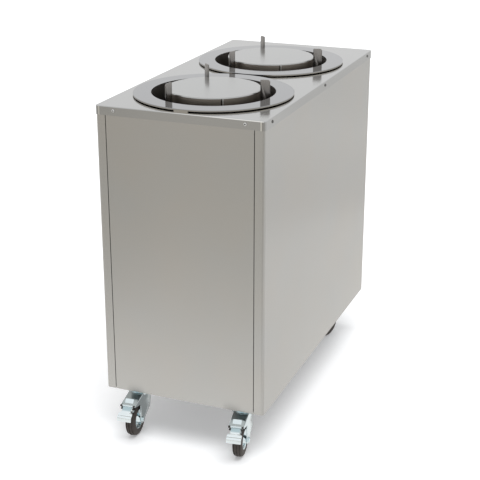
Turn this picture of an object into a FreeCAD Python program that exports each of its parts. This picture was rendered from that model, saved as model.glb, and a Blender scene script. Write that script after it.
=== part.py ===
import FreeCAD, Part
import math
import os

import Sketcher

# A two-well plate dispenser cart in folded stainless steel sheet.
# The frame: +X runs along the cart to its rear, the front end (-X) has the braked casters,
# +Z is up and the floor is z = 0. Left is -Y. Lengths are in millimetres, angles in degrees.

os.makedirs("parts", exist_ok=True)
doc = FreeCAD.newDocument("plate_dispenser_cart")

SIZES = (
    # cabinet
    ("cabinet_shift", 35.95, "the cabinet's centre behind the middle of the whole cart with its pedals"),
    ("cabinet_length", 980, "outside length of the lid"),
    ("cabinet_width", 482, "outside width of the lid"),
    ("cabinet_bottom", 142, "lower edge of the panels and underside of the base pan"),
    ("lid_top", 972, "worktop height"),
    ("sheet_wall", 1.2, "thickness of the cabinet sheet"),
    ("lid_flange", 24.5, "depth of the lid's folded edge"),
    ("lid_proud", 1.6, "how far the lid stands out past the panels"),
    ("lid_bend", 2, "outer radius of the lid's folded edge"),
    ("corner_round", 10, "radius of the lid's upright corners"),
    ("wrap_width", 27.7, "how far a side panel folds round onto the end"),
    ("over_cut", 1, "how far the cutting tools run past a face"),
    ("seam_gap", 2, "open joint between a side panel's fold and an end panel"),
    ("return_depth", 12, "inward fold on each side of that joint"),
    ("pan_wall", 1.5, "thickness of the base pan"),
    ("pan_flange", 25, "height of the base pan's upturned edge"),
    ("channel_width", 42, "width of the stiffening channels over the casters"),
    ("channel_depth", 20, "height of those channels"),
    ("channel_wall", 2, "thickness of the channels and of the cross rail"),
    ("rail_width", 30, "width of the cross rail under the lid"),
    ("rail_depth", 20, "height of the cross rail"),
    # lid screws
    ("screw_drop", 10.8, "screw line below the lid's top"),
    ("screw_shank", 3.9, "screw diameter"),
    ("screw_head", 7.6, "screw head diameter"),
    ("screw_dome", 2, "screw head height"),
    ("screw_edge", 0.7, "height of a screw head's upright edge"),
    ("screw_flat", 4.2, "flat middle of a screw head"),
    ("screw_length", 9, "screw length under its head"),
    ("screw_hole", 4.1, "diameter of the drilled holes"),
    ("end_screw_inset", 55, "end screws from the sides"),
    ("side_screw_inset", 51, "outer side screws from the ends"),
    # wells
    ("front_well_inset", 238.8, "axis of the front well from the front end"),
    ("rear_well_inset", 287.6, "axis of the rear well from the rear end"),
    ("well_opening", 342.6, "opening diameter of the collar and the tube"),
    ("collar_diameter", 442.4, "outside diameter of the collar"),
    ("collar_lift", 6.8, "top of the collar above the lid"),
    ("collar_wall", 1.2, "thickness of the collar"),
    ("collar_rim", 4, "depth of the collar's turned-down rim"),
    ("collar_bend", 0.95, "outer radius of the collar's rim"),
    ("lid_cutout", 406, "diameter of the holes in the lid"),
    ("lug_width", 40, "width of the lugs that the collar stands on"),
    ("lug_start", 3, "inner edge of the lugs outside the lid's hole"),
    ("tube_wall", 1, "thickness of the well tube"),
    ("unit_clearance", 1.5, "gap that lets the well unit drop through the lid"),
    ("ring_drop", 17, "top of the anchor ring below the lid's top"),
    ("ring_wall", 3, "thickness of the anchor ring and the base plate"),
    ("base_hole", 200, "crumb hole in the base plate"),
    # platform and carriage
    ("travel", 520, "how far the platform goes down under a full stack"),
    ("platform_diameter", 262.2, "outside diameter of the platform"),
    ("platform_lift", 17.6, "top of the empty platform above the lid"),
    ("platform_wall", 1.5, "thickness of the platform"),
    ("platform_bend", 3, "outer radius of the platform's edge"),
    ("skirt_depth", 40, "height of the platform's skirt"),
    ("spider_drop", 242, "from the platform's underside to the spider"),
    ("spider_wall", 6, "thickness of the spider"),
    ("spider_diameter", 200, "diameter of the spider's middle"),
    ("arm_width", 14, "width of the spider's arms"),
    ("slot_clearance", 1, "gap on each side of an arm in its slot"),
    ("post_circle", 85, "radius that the posts stand on"),
    ("post_diameter", 16, "diameter of the posts"),
    ("rod_circle", 187, "radius that the guide rods stand on"),
    ("rod_diameter", 10, "diameter of the guide rods"),
    ("bush_wall", 4, "thickness of the bushes"),
    ("bush_length", 28, "length of the bushes"),
    ("stop_wall", 4, "thickness of the stop collars on the rods"),
    ("stop_length", 8.8, "length of the stop collars"),
    ("running_fit", 0.05, "radial clearance of shafts and pins"),
    ("moving_gap", 0.3, "clearance between faces that pass each other"),
    ("spring_diameter", 16, "outside diameter of the lifting springs"),
    ("spring_wire", 2, "wire of the lifting springs"),
    ("spring_offset", 22, "spring axis beside its rod"),
    ("spring_hook", 8, "length of a spring's end hook"),
    # plate guides
    ("guide_width", 26.5, "width of a plate guide"),
    ("guide_wall", 3, "thickness of a plate guide"),
    ("guide_height", 50, "top of the guides above the lid"),
    ("guide_tail", 72, "bottom of the guides below the lid's top"),
    ("guide_circle", 163.4, "radius of the guides' hinge axes"),
    ("guide_turn", 16, "a guide's broad side, off the radius through its middle"),
    ("guide_lead", 1.3, "a guide's hinge axis, round from its middle"),
    ("guide_round", 7, "outer top corner of a guide"),
    ("guide_nick", 2, "inner top corner of a guide"),
    ("hinge_pin", 5, "diameter of the guides' hinge pins"),
    ("hinge_sleeve", 8, "diameter of the guides' sleeves"),
    ("hinge_drop", 12, "top of the upper hinge ear below the lid's top"),
    ("hinge_span", 58, "from the top of the upper ear to the bottom of the lower one"),
    ("ear_wall", 3, "thickness of a hinge ear"),
    ("ear_width", 11, "width of a hinge ear"),
    ("ear_clearance", 1, "gap round an ear in the guide's notch"),
    # casters, each about its own swivel axis, trailing towards -X
    ("front_caster_inset", 55, "swivel axes of the front casters from the front end"),
    ("rear_caster_inset", 81, "swivel axes of the rear casters from the rear end"),
    ("caster_side_inset", 79, "swivel axes from the sides"),
    ("front_left_yaw", 8.3, "how far each caster has swivelled"),
    ("front_right_yaw", 4.5, "front right"),
    ("rear_left_yaw", -20, "rear left"),
    ("rear_right_yaw", 12, "rear right"),
    ("wheel_diameter", 100, "wheel diameter"),
    ("wheel_trail", 42, "axle behind the swivel axis"),
    ("tyre_width", 28, "width of the tyre"),
    ("tyre_round", 6, "shoulder radius of the tyre"),
    ("tyre_groove", 1.2, "depth and half width of the tread's grooves"),
    ("groove_place", 6, "grooves from the middle of the tread"),
    ("rim_diameter", 58, "seat of the tyre on its rim"),
    ("rim_wall", 3, "thickness of the pressed rim"),
    ("rim_width", 20, "width of the rim's seat"),
    ("hub_diameter", 22, "diameter of the wheel's hub"),
    ("hub_end", 17.6, "diameter of the hub's ends"),
    ("axle_diameter", 8, "diameter of the axle bolt"),
    ("axle_head", 13, "width across the axle's head and nut"),
    ("axle_head_height", 5, "height of the axle's head and nut"),
    ("axle_tip", 2, "axle bolt standing out of its nut"),
    ("fork_gap", 40, "space between the fork's sides"),
    ("fork_wall", 2.5, "thickness of the fork"),
    ("crown_top", 128, "top of the fork's crown"),
    ("crown_wall", 8, "height of the fork's crown"),
    ("crown_diameter", 68, "diameter of the fork's crown"),
    ("boss_diameter", 24, "round end of the fork's sides"),
    ("flank_lean", 21.5, "lower edge of the fork's sides, off the level"),
    ("flank_root", 25, "front of the fork's sides at the crown, ahead of the swivel axis"),
    ("flank_waist", 27, "front of the sides where they are widest"),
    ("flank_waist_height", 88, "height of that place"),
    ("flank_knee", 19, "front of the sides where their lower edge starts"),
    ("flank_knee_height", 63, "height of that place"),
    ("flank_notch", 102.4, "where the sides' upright rear edge meets the hood"),
    ("hood_reach", 97, "end of the hood behind the swivel axis"),
    ("hood_fall", 10, "how far the hood slopes down"),
    ("hood_root", 9, "start of the hood's slope inside the crown's edge"),
    ("lip_end", 5.2, "height of the hood's side lips at its end"),
    ("kingpin_diameter", 12, "diameter of the caster's fixing bolt"),
    ("kingpin_head", 19, "width across its head and nut"),
    ("kingpin_head_height", 7.5, "height of its head"),
    ("nut_height", 10, "height of its nut"),
    ("bolt_hole", 12.4, "holes for the fixing bolts"),
    ("bolt_end", 4, "bolt standing out of its nut"),
    ("head_diameter", 64, "diameter of the caster's fixed head"),
    ("head_wall", 3, "thickness of that head's plate"),
    ("race_diameter", 52, "diameter of the ball race under the head"),
    ("race_bevel", 3, "bevel of the race's lower edge"),
    # brake pedals
    ("pedal_pivot_back", 74, "pedal's pivot behind the swivel axis"),
    ("pedal_pivot_height", 112, "pedal's pivot above the floor"),
    ("pedal_pin", 6, "diameter of the pedal's pin"),
    ("pedal_sleeve", 10, "diameter of the pedal's sleeve"),
    ("pedal_neck", 26, "width of the pedal's neck"),
    ("pedal_width", 42, "width of the pedal's tread"),
    ("pedal_wall", 2.5, "thickness of the pedal"),
    ("pedal_stroke", 10, "how far the pedal turns down to brake"),
    ("pedal_reach", 38, "from the pedal's pivot to the start of its tread"),
    ("pedal_rise", 3, "top of the neck above the pivot"),
    ("pedal_sink", 9.7, "start of the tread below the pivot"),
    ("tread_root", 6, "how far the tread laps onto the neck"),
    ("tread_run", 13, "how far the tread runs out to its brow"),
    ("tread_fall", 8, "how far it comes down to there"),
    ("tip_run", 2.2, "how far its turned-down tip stands out from the brow"),
    ("tip_fall", 14, "height of the turned-down tip"),
    ("shoe_depth", 22, "reach of the brake shoe below the pedal's pivot"),
    ("shoe_length", 14, "length of the brake shoe"),
    ("shoe_inset", 3, "edge of the tread beyond the shoe"),
    ("shoe_gap", 1.1, "shoe from the tyre at the end of the pedal's stroke"),
)

sheet = doc.addObject("Spreadsheet::Sheet", "sizes")
for row, (alias, number, meaning) in enumerate(SIZES, start=1):
    sheet.set("A%d" % row, alias)
    sheet.set("B%d" % row, str(number))
    sheet.set("C%d" % row, meaning)
    sheet.setAlias("B%d" % row, alias)
doc.recompute()


class Size:
    """A size as its number and as the formula that ties it to the sheet."""

    def __init__(self, number, text):
        self.number = number
        self.text = text

    def __add__(self, other):
        other = as_size(other)
        return Size(self.number + other.number, "(%s + %s)" % (self.text, other.text))

    def __sub__(self, other):
        other = as_size(other)
        return Size(self.number - other.number, "(%s - %s)" % (self.text, other.text))

    def __mul__(self, other):
        other = as_size(other)
        return Size(self.number * other.number, "(%s * %s)" % (self.text, other.text))

    def __truediv__(self, other):
        other = as_size(other)
        return Size(self.number / other.number, "(%s / %s)" % (self.text, other.text))

    def __neg__(self):
        return Size(-self.number, "(0 - %s)" % self.text)

    def __radd__(self, other):
        return as_size(other) + self

    def __rsub__(self, other):
        return as_size(other) - self

    def __rmul__(self, other):
        return as_size(other) * self


def as_size(value):
    return value if isinstance(value, Size) else Size(float(value), "(%r)" % float(value))


class Sheet:
    """The sheet's cells by name."""

    def __getattr__(self, alias):
        return Size(float(sheet.get(alias)), "sizes." + alias)


s = Sheet()
SAME_PLACE = 1e-4
LEAST_CUT = 1e-3


def cosine(angle):
    angle = as_size(angle)
    return Size(math.cos(math.radians(angle.number)), "cos(%s * 1 deg)" % angle.text)


def sine(angle):
    angle = as_size(angle)
    return Size(math.sin(math.radians(angle.number)), "sin(%s * 1 deg)" % angle.text)


# ---- drawing helpers ----

def add(kind, name):
    item = doc.addObject(kind, name)
    item.Label = name
    return item


def bind(item, **fields):
    for field, size in fields.items():
        item.setExpression(field, as_size(size).text)


def put(item, x=0, y=0, z=0, turn=0, centre_x=0, centre_y=0):
    """Stand an item at x, y from an upright axis, after a turn about that axis."""
    x, y, turn = as_size(x), as_size(y), as_size(turn)
    item.setExpression("Placement.Base.x", (centre_x + x * cosine(turn) - y * sine(turn)).text)
    item.setExpression("Placement.Base.y", (centre_y + x * sine(turn) + y * cosine(turn)).text)
    item.setExpression("Placement.Base.z", as_size(z).text)
    item.setExpression("Placement.Rotation.Angle", turn.text)
    return item


def box(name, x, y, z, turn=0):
    """A box between the two values of x, y and z, turned about the upright axis."""
    item = add("Part::Box", name)
    bind(item, Length=x[1] - x[0], Width=y[1] - y[0], Height=z[1] - z[0])
    return put(item, x[0], y[0], z[0], turn)


def rod(name, diameter, z, x=0, y=0, turn=0):
    """An upright cylinder."""
    item = add("Part::Cylinder", name)
    bind(item, Radius=diameter / 2, Height=z[1] - z[0])
    return put(item, x, y, z[0], turn)


def cross_rod(name, diameter, y, x, z):
    """A cylinder along Y."""
    item = add("Part::Cylinder", name)
    item.Placement.Rotation = FreeCAD.Rotation(FreeCAD.Vector(1, 0, 0), -90)
    bind(item, Radius=diameter / 2, Height=y[1] - y[0])
    item.setExpression("Placement.Base.x", as_size(x).text)
    item.setExpression("Placement.Base.y", as_size(y[0]).text)
    item.setExpression("Placement.Base.z", as_size(z).text)
    return item


def prism(name, across, z, x=0, y=0):
    """An upright hexagon, for nuts and bolt heads."""
    item = add("Part::Prism", name)
    item.Polygon = 6
    bind(item, Circumradius=across / math.sqrt(3), Height=z[1] - z[0])
    return put(item, x, y, z[0])


def cross_prism(name, across, y, x, z):
    """A hexagon along Y."""
    item = add("Part::Prism", name)
    item.Polygon = 6
    item.Placement.Rotation = FreeCAD.Rotation(FreeCAD.Vector(1, 0, 0), -90)
    bind(item, Circumradius=across / math.sqrt(3), Height=y[1] - y[0])
    item.setExpression("Placement.Base.x", as_size(x).text)
    item.setExpression("Placement.Base.y", as_size(y[0]).text)
    item.setExpression("Placement.Base.z", as_size(z).text)
    return item


def fuse(name, pieces):
    item = add("Part::MultiFuse", name)
    item.Shapes = pieces
    return item


def cut(name, base, tool):
    item = add("Part::Cut", name)
    item.Base = base
    item.Tool = tool
    return item


def common(name, pieces):
    item = add("Part::MultiCommon", name)
    item.Shapes = pieces
    return item


def group(name, pieces):
    item = add("Part::Compound", name)
    item.Links = pieces
    return item


def body(name):
    return add("PartDesign::Body", name)


def outline(owner, plane, points, start=0):
    """A closed outline on one of the body's origin planes, each corner tied to the sheet."""
    sketch = owner.newObject("Sketcher::SketchObject", owner.Name + "_outline")
    origin = [f for f in owner.Origin.OriginFeatures if f.Role == plane][0]
    sketch.AttachmentSupport = [(origin, "")]
    sketch.MapMode = "FlatFace"
    sketch.setExpression("AttachmentOffset.Base.z", as_size(start).text)
    points = [(as_size(a), as_size(b)) for a, b in points]
    places = [FreeCAD.Vector(a.number, b.number, 0) for a, b in points]
    count = len(points)
    for i in range(count):
        sketch.addGeometry(Part.LineSegment(places[i], places[(i + 1) % count]))
    for i in range(count):
        sketch.addConstraint(Sketcher.Constraint("Coincident", i, 2, (i + 1) % count, 1))
    for i, corner in enumerate(points):
        for kind, size in zip(("DistanceX", "DistanceY"), corner):
            index = sketch.addConstraint(Sketcher.Constraint(kind, -1, 1, i, 1, size.number))
            sketch.setExpression("Constraints[%d]" % index, size.text)
    return sketch


def circles(owner, rounds, start=0):
    """Circles on the XY plane, each an x, a y and a diameter."""
    sketch = owner.newObject("Sketcher::SketchObject", owner.Name + "_circles")
    origin = [f for f in owner.Origin.OriginFeatures if f.Role == "XY_Plane"][0]
    sketch.AttachmentSupport = [(origin, "")]
    sketch.MapMode = "FlatFace"
    sketch.setExpression("AttachmentOffset.Base.z", as_size(start).text)
    for i, sizes in enumerate(rounds):
        x, y, diameter = [as_size(size) for size in sizes]
        place = FreeCAD.Vector(x.number, y.number, 0)
        sketch.addGeometry(Part.Circle(place, FreeCAD.Vector(0, 0, 1), diameter.number / 2))
        for constraint, size in (
            (Sketcher.Constraint("DistanceX", -1, 1, i, 3, x.number), x),
            (Sketcher.Constraint("DistanceY", -1, 1, i, 3, y.number), y),
            (Sketcher.Constraint("Diameter", i, diameter.number), diameter),
        ):
            index = sketch.addConstraint(constraint)
            sketch.setExpression("Constraints[%d]" % index, size.text)
    return sketch


def pad(owner, sketch, length):
    item = owner.newObject("PartDesign::Pad", owner.Name + "_pad")
    item.Profile = sketch
    bind(item, Length=length)
    doc.recompute()
    return item


def pocket(owner, sketch, length):
    """Cut up from the sketch; the volume has to fall."""
    before = owner.Shape.Volume
    item = owner.newObject("PartDesign::Pocket", owner.Name + "_pocket")
    item.Profile = sketch
    item.Reversed = True
    bind(item, Length=length)
    doc.recompute()
    if owner.Shape.Volume > before - LEAST_CUT:
        raise ValueError("the pocket in %s cuts nothing" % owner.Label)
    return item


def turned(name, plane, axis, points):
    """A turned piece: the outline swept right round the sketch's own axis."""
    owner = body(name)
    item = owner.newObject("PartDesign::Revolution", name + "_turn")
    sketch = outline(owner, plane, points)
    item.Profile = sketch
    item.ReferenceAxis = (sketch, [axis])
    item.Angle = 360
    doc.recompute()
    owner.Tip = item
    return owner


def rounded(owner, radius, chosen):
    """Fillet the edges of the body for which chosen(edge's middle, edge) holds."""
    base = owner.Tip
    names = []
    for number, edge in enumerate(base.Shape.Edges, start=1):
        middle = edge.valueAt((edge.FirstParameter + edge.LastParameter) / 2)
        if chosen(middle, edge):
            names.append("Edge%d" % number)
    item = owner.newObject("PartDesign::Fillet", owner.Name + "_fillet")
    item.Base = (base, names)
    bind(item, Radius=radius)
    doc.recompute()
    return item


def near(a, b):
    return abs(a - b) < SAME_PLACE


def upright(edge):
    ends = edge.Vertexes
    return len(ends) == 2 and near(ends[0].X, ends[1].X) and near(ends[0].Y, ends[1].Y)


def along_y(edge):
    ends = edge.Vertexes
    return len(ends) == 2 and near(ends[0].X, ends[1].X) and near(ends[0].Z, ends[1].Z)


nodes = []


def node(item, name):
    """The item is a finished sub-part, written under this name."""
    item.Label = name
    nodes.append(item)
    return item


# ---- cabinet ----

half_length = s.cabinet_length / 2
half_width = s.cabinet_width / 2
panel_x = half_length - s.lid_proud
panel_y = half_width - s.lid_proud
lid_underside = s.lid_top - s.sheet_wall
panel_top = lid_underside
screw_height = s.lid_top - s.screw_drop
centre = s.cabinet_shift
front_well = s.front_well_inset - half_length
rear_well = half_length - s.rear_well_inset
front_casters = s.front_caster_inset - half_length
rear_casters = half_length - s.rear_caster_inset
caster_side = half_width - s.caster_side_inset
WELLS = (("front", front_well), ("rear", rear_well))
CASTERS = (
    ("front_left", front_casters, -1, s.front_left_yaw, True),
    ("front_right", front_casters, 1, s.front_right_yaw, True),
    ("rear_left", rear_casters, -1, s.rear_left_yaw, False),
    ("rear_right", rear_casters, 1, s.rear_right_yaw, False),
)


def rectangle(x, y):
    return [(-x, -y), (x, -y), (x, y), (-x, y)]


def screw_places():
    """Each lid screw as x, y and the direction of its head, along +X at 0 degrees."""
    places = []
    for side in (-1, 1):
        for across in (-1, 1):
            over = across * (half_width - s.end_screw_inset)
            places.append((side * half_length, over, 0 if side > 0 else 180))
        for along in (-1, 0, 1):
            places.append((along * (half_length - s.side_screw_inset), side * half_width, 90 * side))
    return places


def lying(item, x, y, z, direction):
    """Lay an upright piece down so that its top points in a level direction."""
    level = FreeCAD.Rotation(FreeCAD.Vector(0, 0, 1), direction)
    item.Placement.Rotation = level * FreeCAD.Rotation(FreeCAD.Vector(0, 1, 0), 90)
    for field, size in (("x", x), ("y", y), ("z", z)):
        item.setExpression("Placement.Base." + field, as_size(size).text)
    return item


def lid_screws():
    screws = []
    for number, (x, y, direction) in enumerate(screw_places(), start=1):
        name = "lid_screw_%d" % number
        flat = s.screw_head / 2
        crown = s.screw_flat / 2
        shank = s.screw_shank / 2
        profile = [(0, -s.screw_length), (shank, -s.screw_length), (shank, 0), (flat, 0),
                   (flat, s.screw_edge), (crown, s.screw_dome), (0, s.screw_dome)]
        screws.append(lying(turned(name, "XZ_Plane", "V_Axis", profile), x, y, screw_height, direction))
    item = group("lid_screws", screws)
    bind_shift(item)
    return node(item, "lid_screws")


def bind_shift(item, x=0):
    """Shift a piece drawn about the cabinet's centre to its place in the cart's frame."""
    item.setExpression("Placement.Base.x", (centre + x).text)
    return item


def screw_holes():
    holes = []
    for number, (x, y, direction) in enumerate(screw_places(), start=1):
        item = add("Part::Cylinder", "screw_hole_%d" % number)
        bind(item, Radius=s.screw_hole / 2, Height=s.screw_length)
        reach = s.screw_length / 2
        level = math.radians(direction)
        x = x - reach * round(math.cos(level))
        y = y - reach * round(math.sin(level))
        holes.append(lying(item, x, y, screw_height, direction))
    return fuse("screw_holes", holes)


def lid(holes):
    blank = body("lid_blank")
    skirt = s.lid_top - s.lid_flange
    pad(blank, outline(blank, "XY_Plane", rectangle(half_length, half_width), skirt), s.lid_flange)
    hollow = rectangle(half_length - s.sheet_wall, half_width - s.sheet_wall)
    pocket(blank, outline(blank, "XY_Plane", hollow, skirt), s.lid_flange - s.sheet_wall)
    outside = half_length.number
    rounded(blank, s.corner_round - s.sheet_wall, lambda middle, edge: (
        upright(edge) and not near(abs(middle.x), outside)))
    rounded(blank, s.corner_round, lambda middle, edge: upright(edge) and near(abs(middle.x), outside))
    rounded(blank, s.lid_bend, lambda middle, edge: near(middle.z, s.lid_top.number))
    wells = [(place, 0, s.lid_cutout) for _, place in WELLS]
    pocket(blank, circles(blank, wells, lid_underside - s.over_cut), s.sheet_wall + 2 * s.over_cut)
    return node(bind_shift(cut("lid_cut", blank, holes)), "lid")


def side_panel(name, side, holes):
    """A long side whose ends fold round onto the short ends and back inwards."""
    wall = s.sheet_wall
    edge = panel_y - s.wrap_width
    inner_x = panel_x - wall
    inner_y = panel_y - wall
    fold = panel_x - s.return_depth
    half = [(panel_x, edge), (fold, edge), (fold, edge + wall), (inner_x, edge + wall), (inner_x, inner_y)]
    right_end = [(x, side * y) for x, y in half]
    left_end = [(-x, side * y) for x, y in reversed(half)]
    points = right_end + left_end + [(-panel_x, side * panel_y), (panel_x, side * panel_y)]
    blank = body(name + "_blank")
    height = panel_top - s.cabinet_bottom
    pad(blank, outline(blank, "XY_Plane", points, s.cabinet_bottom), height)
    rounded(blank, s.corner_round - s.lid_proud - wall, lambda middle, edge: (
        upright(edge) and near(abs(middle.y), inner_y.number) and near(abs(middle.x), inner_x.number)))
    rounded(blank, s.corner_round - s.lid_proud, lambda middle, edge: (
        upright(edge) and near(abs(middle.y), panel_y.number)))
    return node(bind_shift(cut(name + "_cut", blank, holes)), name)


def end_panel(name, end, holes):
    """A short end between the side panels' folds, with its own edges folded inwards."""
    wall = s.sheet_wall
    edge = panel_y - s.wrap_width - s.seam_gap
    fold = panel_x - s.return_depth
    half = [(panel_x, edge), (fold, edge), (fold, edge - wall), (panel_x - wall, edge - wall)]
    points = [(end * x, y) for x, y in half] + [(end * x, -y) for x, y in reversed(half)]
    blank = body(name + "_blank")
    pad(blank, outline(blank, "XY_Plane", points, s.cabinet_bottom), panel_top - s.cabinet_bottom)
    return node(bind_shift(cut(name + "_cut", blank, holes)), name)


def base_pan():
    """A tray between the panels, open at the corners where the panels' folds stand."""
    pan = body("base_pan_blank")
    wall = s.pan_wall
    edge = panel_y - s.wrap_width - s.seam_gap - s.sheet_wall
    long_x = panel_x - s.return_depth
    out_x = panel_x - s.sheet_wall
    out_y = panel_y - s.sheet_wall
    cross = [(out_x, -edge), (out_x, edge), (long_x, edge), (long_x, out_y), (-long_x, out_y),
             (-long_x, edge), (-out_x, edge), (-out_x, -edge), (-long_x, -edge), (-long_x, -out_y),
             (long_x, -out_y), (long_x, -edge)]
    pad(pan, outline(pan, "XY_Plane", cross, s.cabinet_bottom), wall)
    pieces = [pan]
    top = s.cabinet_bottom + s.pan_flange
    for side in (-1, 1):
        wide = sorted_pair(side * out_y, side * (out_y - wall))
        pieces.append(box("pan_side_%d" % (side + 1), (-long_x, long_x), wide, (s.cabinet_bottom, top)))
        long = sorted_pair(side * out_x, side * (out_x - wall))
        pieces.append(box("pan_end_%d" % (side + 1), long, (-edge, edge), (s.cabinet_bottom, top)))
    tray = fuse("base_pan_tray", pieces)
    drill = fuse("base_pan_drill", bolt_drills("pan_drill"))
    return node(bind_shift(cut("base_pan_cut", tray, drill)), "base_pan")


def sorted_pair(one, other):
    return (one, other) if one.number < other.number else (other, one)


def bolt_drills(name):
    reach = (s.cabinet_bottom - s.pan_wall, s.cabinet_bottom + s.pan_flange)
    drills = []
    for caster, place, side, _, _ in CASTERS:
        drills.append(rod("%s_%s" % (name, caster), s.bolt_hole, reach, place, side * caster_side))
    return drills


def base_channels():
    """Channels across the pan that spread the casters' load."""
    low = s.cabinet_bottom + s.pan_wall
    high = low + s.channel_depth
    reach = panel_y - s.sheet_wall - s.pan_wall
    wall = s.channel_wall
    half = s.channel_width / 2
    pieces = []
    for number, place in enumerate((front_casters, rear_casters)):
        channel = body("channel_%d" % number)
        points = [(-half, low), (half, low), (half, high), (half - wall, high), (half - wall, low + wall),
                  (wall - half, low + wall), (wall - half, high), (-half, high)]
        pad(channel, outline(channel, "XZ_Plane", points, -reach), 2 * reach)
        put(channel, place)
        pieces.append(cut("channel_cut_%d" % number, channel, fuse("channel_drill_%d" % number,
                          bolt_drills("channel_drill_%d" % number))))
    return node(bind_shift(group("base_channels", pieces)), "base_channels")


def cross_rail():
    """A channel under the lid between the wells."""
    rail = body("cross_rail_body")
    half = s.rail_width / 2
    wall = s.channel_wall
    high = lid_underside
    low = high - s.rail_depth
    points = [(-half, low), (wall - half, low), (wall - half, high - wall), (half - wall, high - wall),
              (half - wall, low), (half, low), (half, high), (-half, high)]
    reach = panel_y - s.sheet_wall
    pad(rail, outline(rail, "XZ_Plane", points, -reach), 2 * reach)
    middle = (front_well + rear_well) / 2
    put(rail, centre + middle)
    return node(rail, "cross_rail")


# ---- wells: each unit is drawn about its own axis, then moved to its well ----

opening = s.well_opening
tube_outer = opening + 2 * s.tube_wall
collar_top = s.lid_top + s.collar_lift
collar_underside = collar_top - s.collar_wall
unit_diameter = s.lid_cutout - 2 * s.unit_clearance
ring_top = s.lid_top - s.ring_drop
ring_underside = ring_top - s.ring_wall
platform_top = s.lid_top + s.platform_lift
platform_underside = platform_top - s.platform_wall
spider_top = platform_underside - s.spider_drop
spider_underside = spider_top - s.spider_wall
bush_diameter = s.rod_diameter + 2 * s.running_fit + 2 * s.bush_wall
bush_low = (spider_top + spider_underside) / 2 - s.bush_length / 2
bush_high = bush_low + s.bush_length
unit_bottom = bush_low - s.travel - s.moving_gap - s.stop_length
ARM_ANGLES = (90, 210, 330)
GUIDE_ANGLES = (30, 150, 270)
LUG_ANGLES = (180, 60, 300)


def at_well(item, place):
    item.setExpression("Placement.Base.x", (centre + place).text)
    return item


def annulus(name, outer, inner, z):
    past = (z[0] - s.over_cut, z[1] + s.over_cut)
    return cut(name, rod(name + "_out", outer, z), rod(name + "_in", inner, past))


def collar(prefix, place):
    """The flat ring round the opening, with a turned-down rim, on lugs that lie on the lid."""
    outer = s.collar_diameter / 2
    wall = s.collar_wall
    low = collar_top - s.collar_rim
    profile = [(opening / 2, collar_underside), (outer - wall, collar_underside), (outer - wall, low),
               (outer, low), (outer, collar_top), (opening / 2, collar_top)]
    ring = turned(prefix + "_collar_ring", "XZ_Plane", "V_Axis", profile)
    rounded(ring, s.collar_bend, lambda middle, edge: (
        near(middle.z, collar_top.number) and near(math.hypot(middle.x, middle.y), outer.number)))
    inner_edge = s.lid_cutout / 2 + s.lug_start
    lugs = []
    for angle in LUG_ANGLES:
        name = "%s_lug_%d" % (prefix, angle)
        tall = (s.lid_top, collar_underside)
        band = annulus(name + "_band", s.collar_diameter, 2 * inner_edge, tall)
        across = (-s.lug_width / 2, s.lug_width / 2)
        window = box(name + "_window", (inner_edge / 2, outer + inner_edge), across, tall, angle)
        lugs.append(common(name, [band, window]))
    return node(at_well(fuse(prefix + "_collar_fuse", [ring] + lugs), place), prefix + "_collar")


def tube(prefix, place):
    """The well's tube, hung from the collar and slotted for the carriage's arms."""
    blank = annulus(prefix + "_tube_blank", tube_outer, opening, (unit_bottom, collar_underside))
    half_slot = s.arm_width / 2 + s.slot_clearance
    low = spider_underside - s.travel - s.stop_length
    high = spider_top + s.stop_length
    slots = [box("%s_slot_%d" % (prefix, angle), (opening / 2 - s.arm_width, tube_outer / 2 + s.arm_width),
                 (-half_slot, half_slot), (low, high), angle) for angle in ARM_ANGLES]
    item = cut(prefix + "_tube_cut", blank, fuse(prefix + "_slots", slots))
    return node(at_well(item, place), prefix + "_tube")


def anchor_ring(prefix, place):
    """The ring round the tube that holds the rods' heads and the springs."""
    item = annulus(prefix + "_anchor", unit_diameter, tube_outer, (ring_underside, ring_top))
    return node(at_well(item, place), prefix + "_anchor_ring")


def base_plate(prefix, place):
    item = annulus(prefix + "_base", unit_diameter, s.base_hole, (unit_bottom - s.ring_wall, unit_bottom))
    return node(at_well(item, place), prefix + "_base_plate")


def guide_rods(prefix, place):
    """Three rods with a stop collar above each bush and another one below its lowest place."""
    rods = []
    stop = s.rod_diameter + 2 * s.stop_wall
    upper = (bush_high + s.moving_gap, bush_high + s.moving_gap + s.stop_length)
    lower = (unit_bottom, unit_bottom + s.stop_length)
    for angle in ARM_ANGLES:
        name = "%s_rod_%d" % (prefix, angle)
        pieces = [rod(name + "_shank", s.rod_diameter, (unit_bottom, ring_underside), s.rod_circle, 0, angle)]
        for end, tall in (("upper", upper), ("lower", lower)):
            pieces.append(rod("%s_%s_stop" % (name, end), stop, tall, s.rod_circle, 0, angle))
        rods.append(fuse(name, pieces))
    return node(at_well(group(prefix + "_rods", rods), place), prefix + "_guide_rods")


def platform(prefix, place):
    """The round platform: a flat top with a skirt."""
    outer = s.platform_diameter / 2
    wall = s.platform_wall
    low = platform_top - s.skirt_depth
    profile = [(0, platform_underside), (outer - wall, platform_underside), (outer - wall, low),
               (outer, low), (outer, platform_top), (0, platform_top)]
    item = turned(prefix + "_platform_body", "XZ_Plane", "V_Axis", profile)
    rounded(item, s.platform_bend, lambda middle, edge: (
        near(middle.z, platform_top.number) and near(math.hypot(middle.x, middle.y), outer.number)))
    return node(at_well(item, place), prefix + "_platform")


def posts(prefix, place):
    """The posts that carry the platform on the spider, turned off the arms."""
    pieces = [rod("%s_post_%d" % (prefix, angle), s.post_diameter, (spider_top, platform_underside),
                  s.post_circle, 0, angle) for angle in ARM_ANGLES]
    return node(at_well(group(prefix + "_posts_group", pieces), place), prefix + "_posts")


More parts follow.
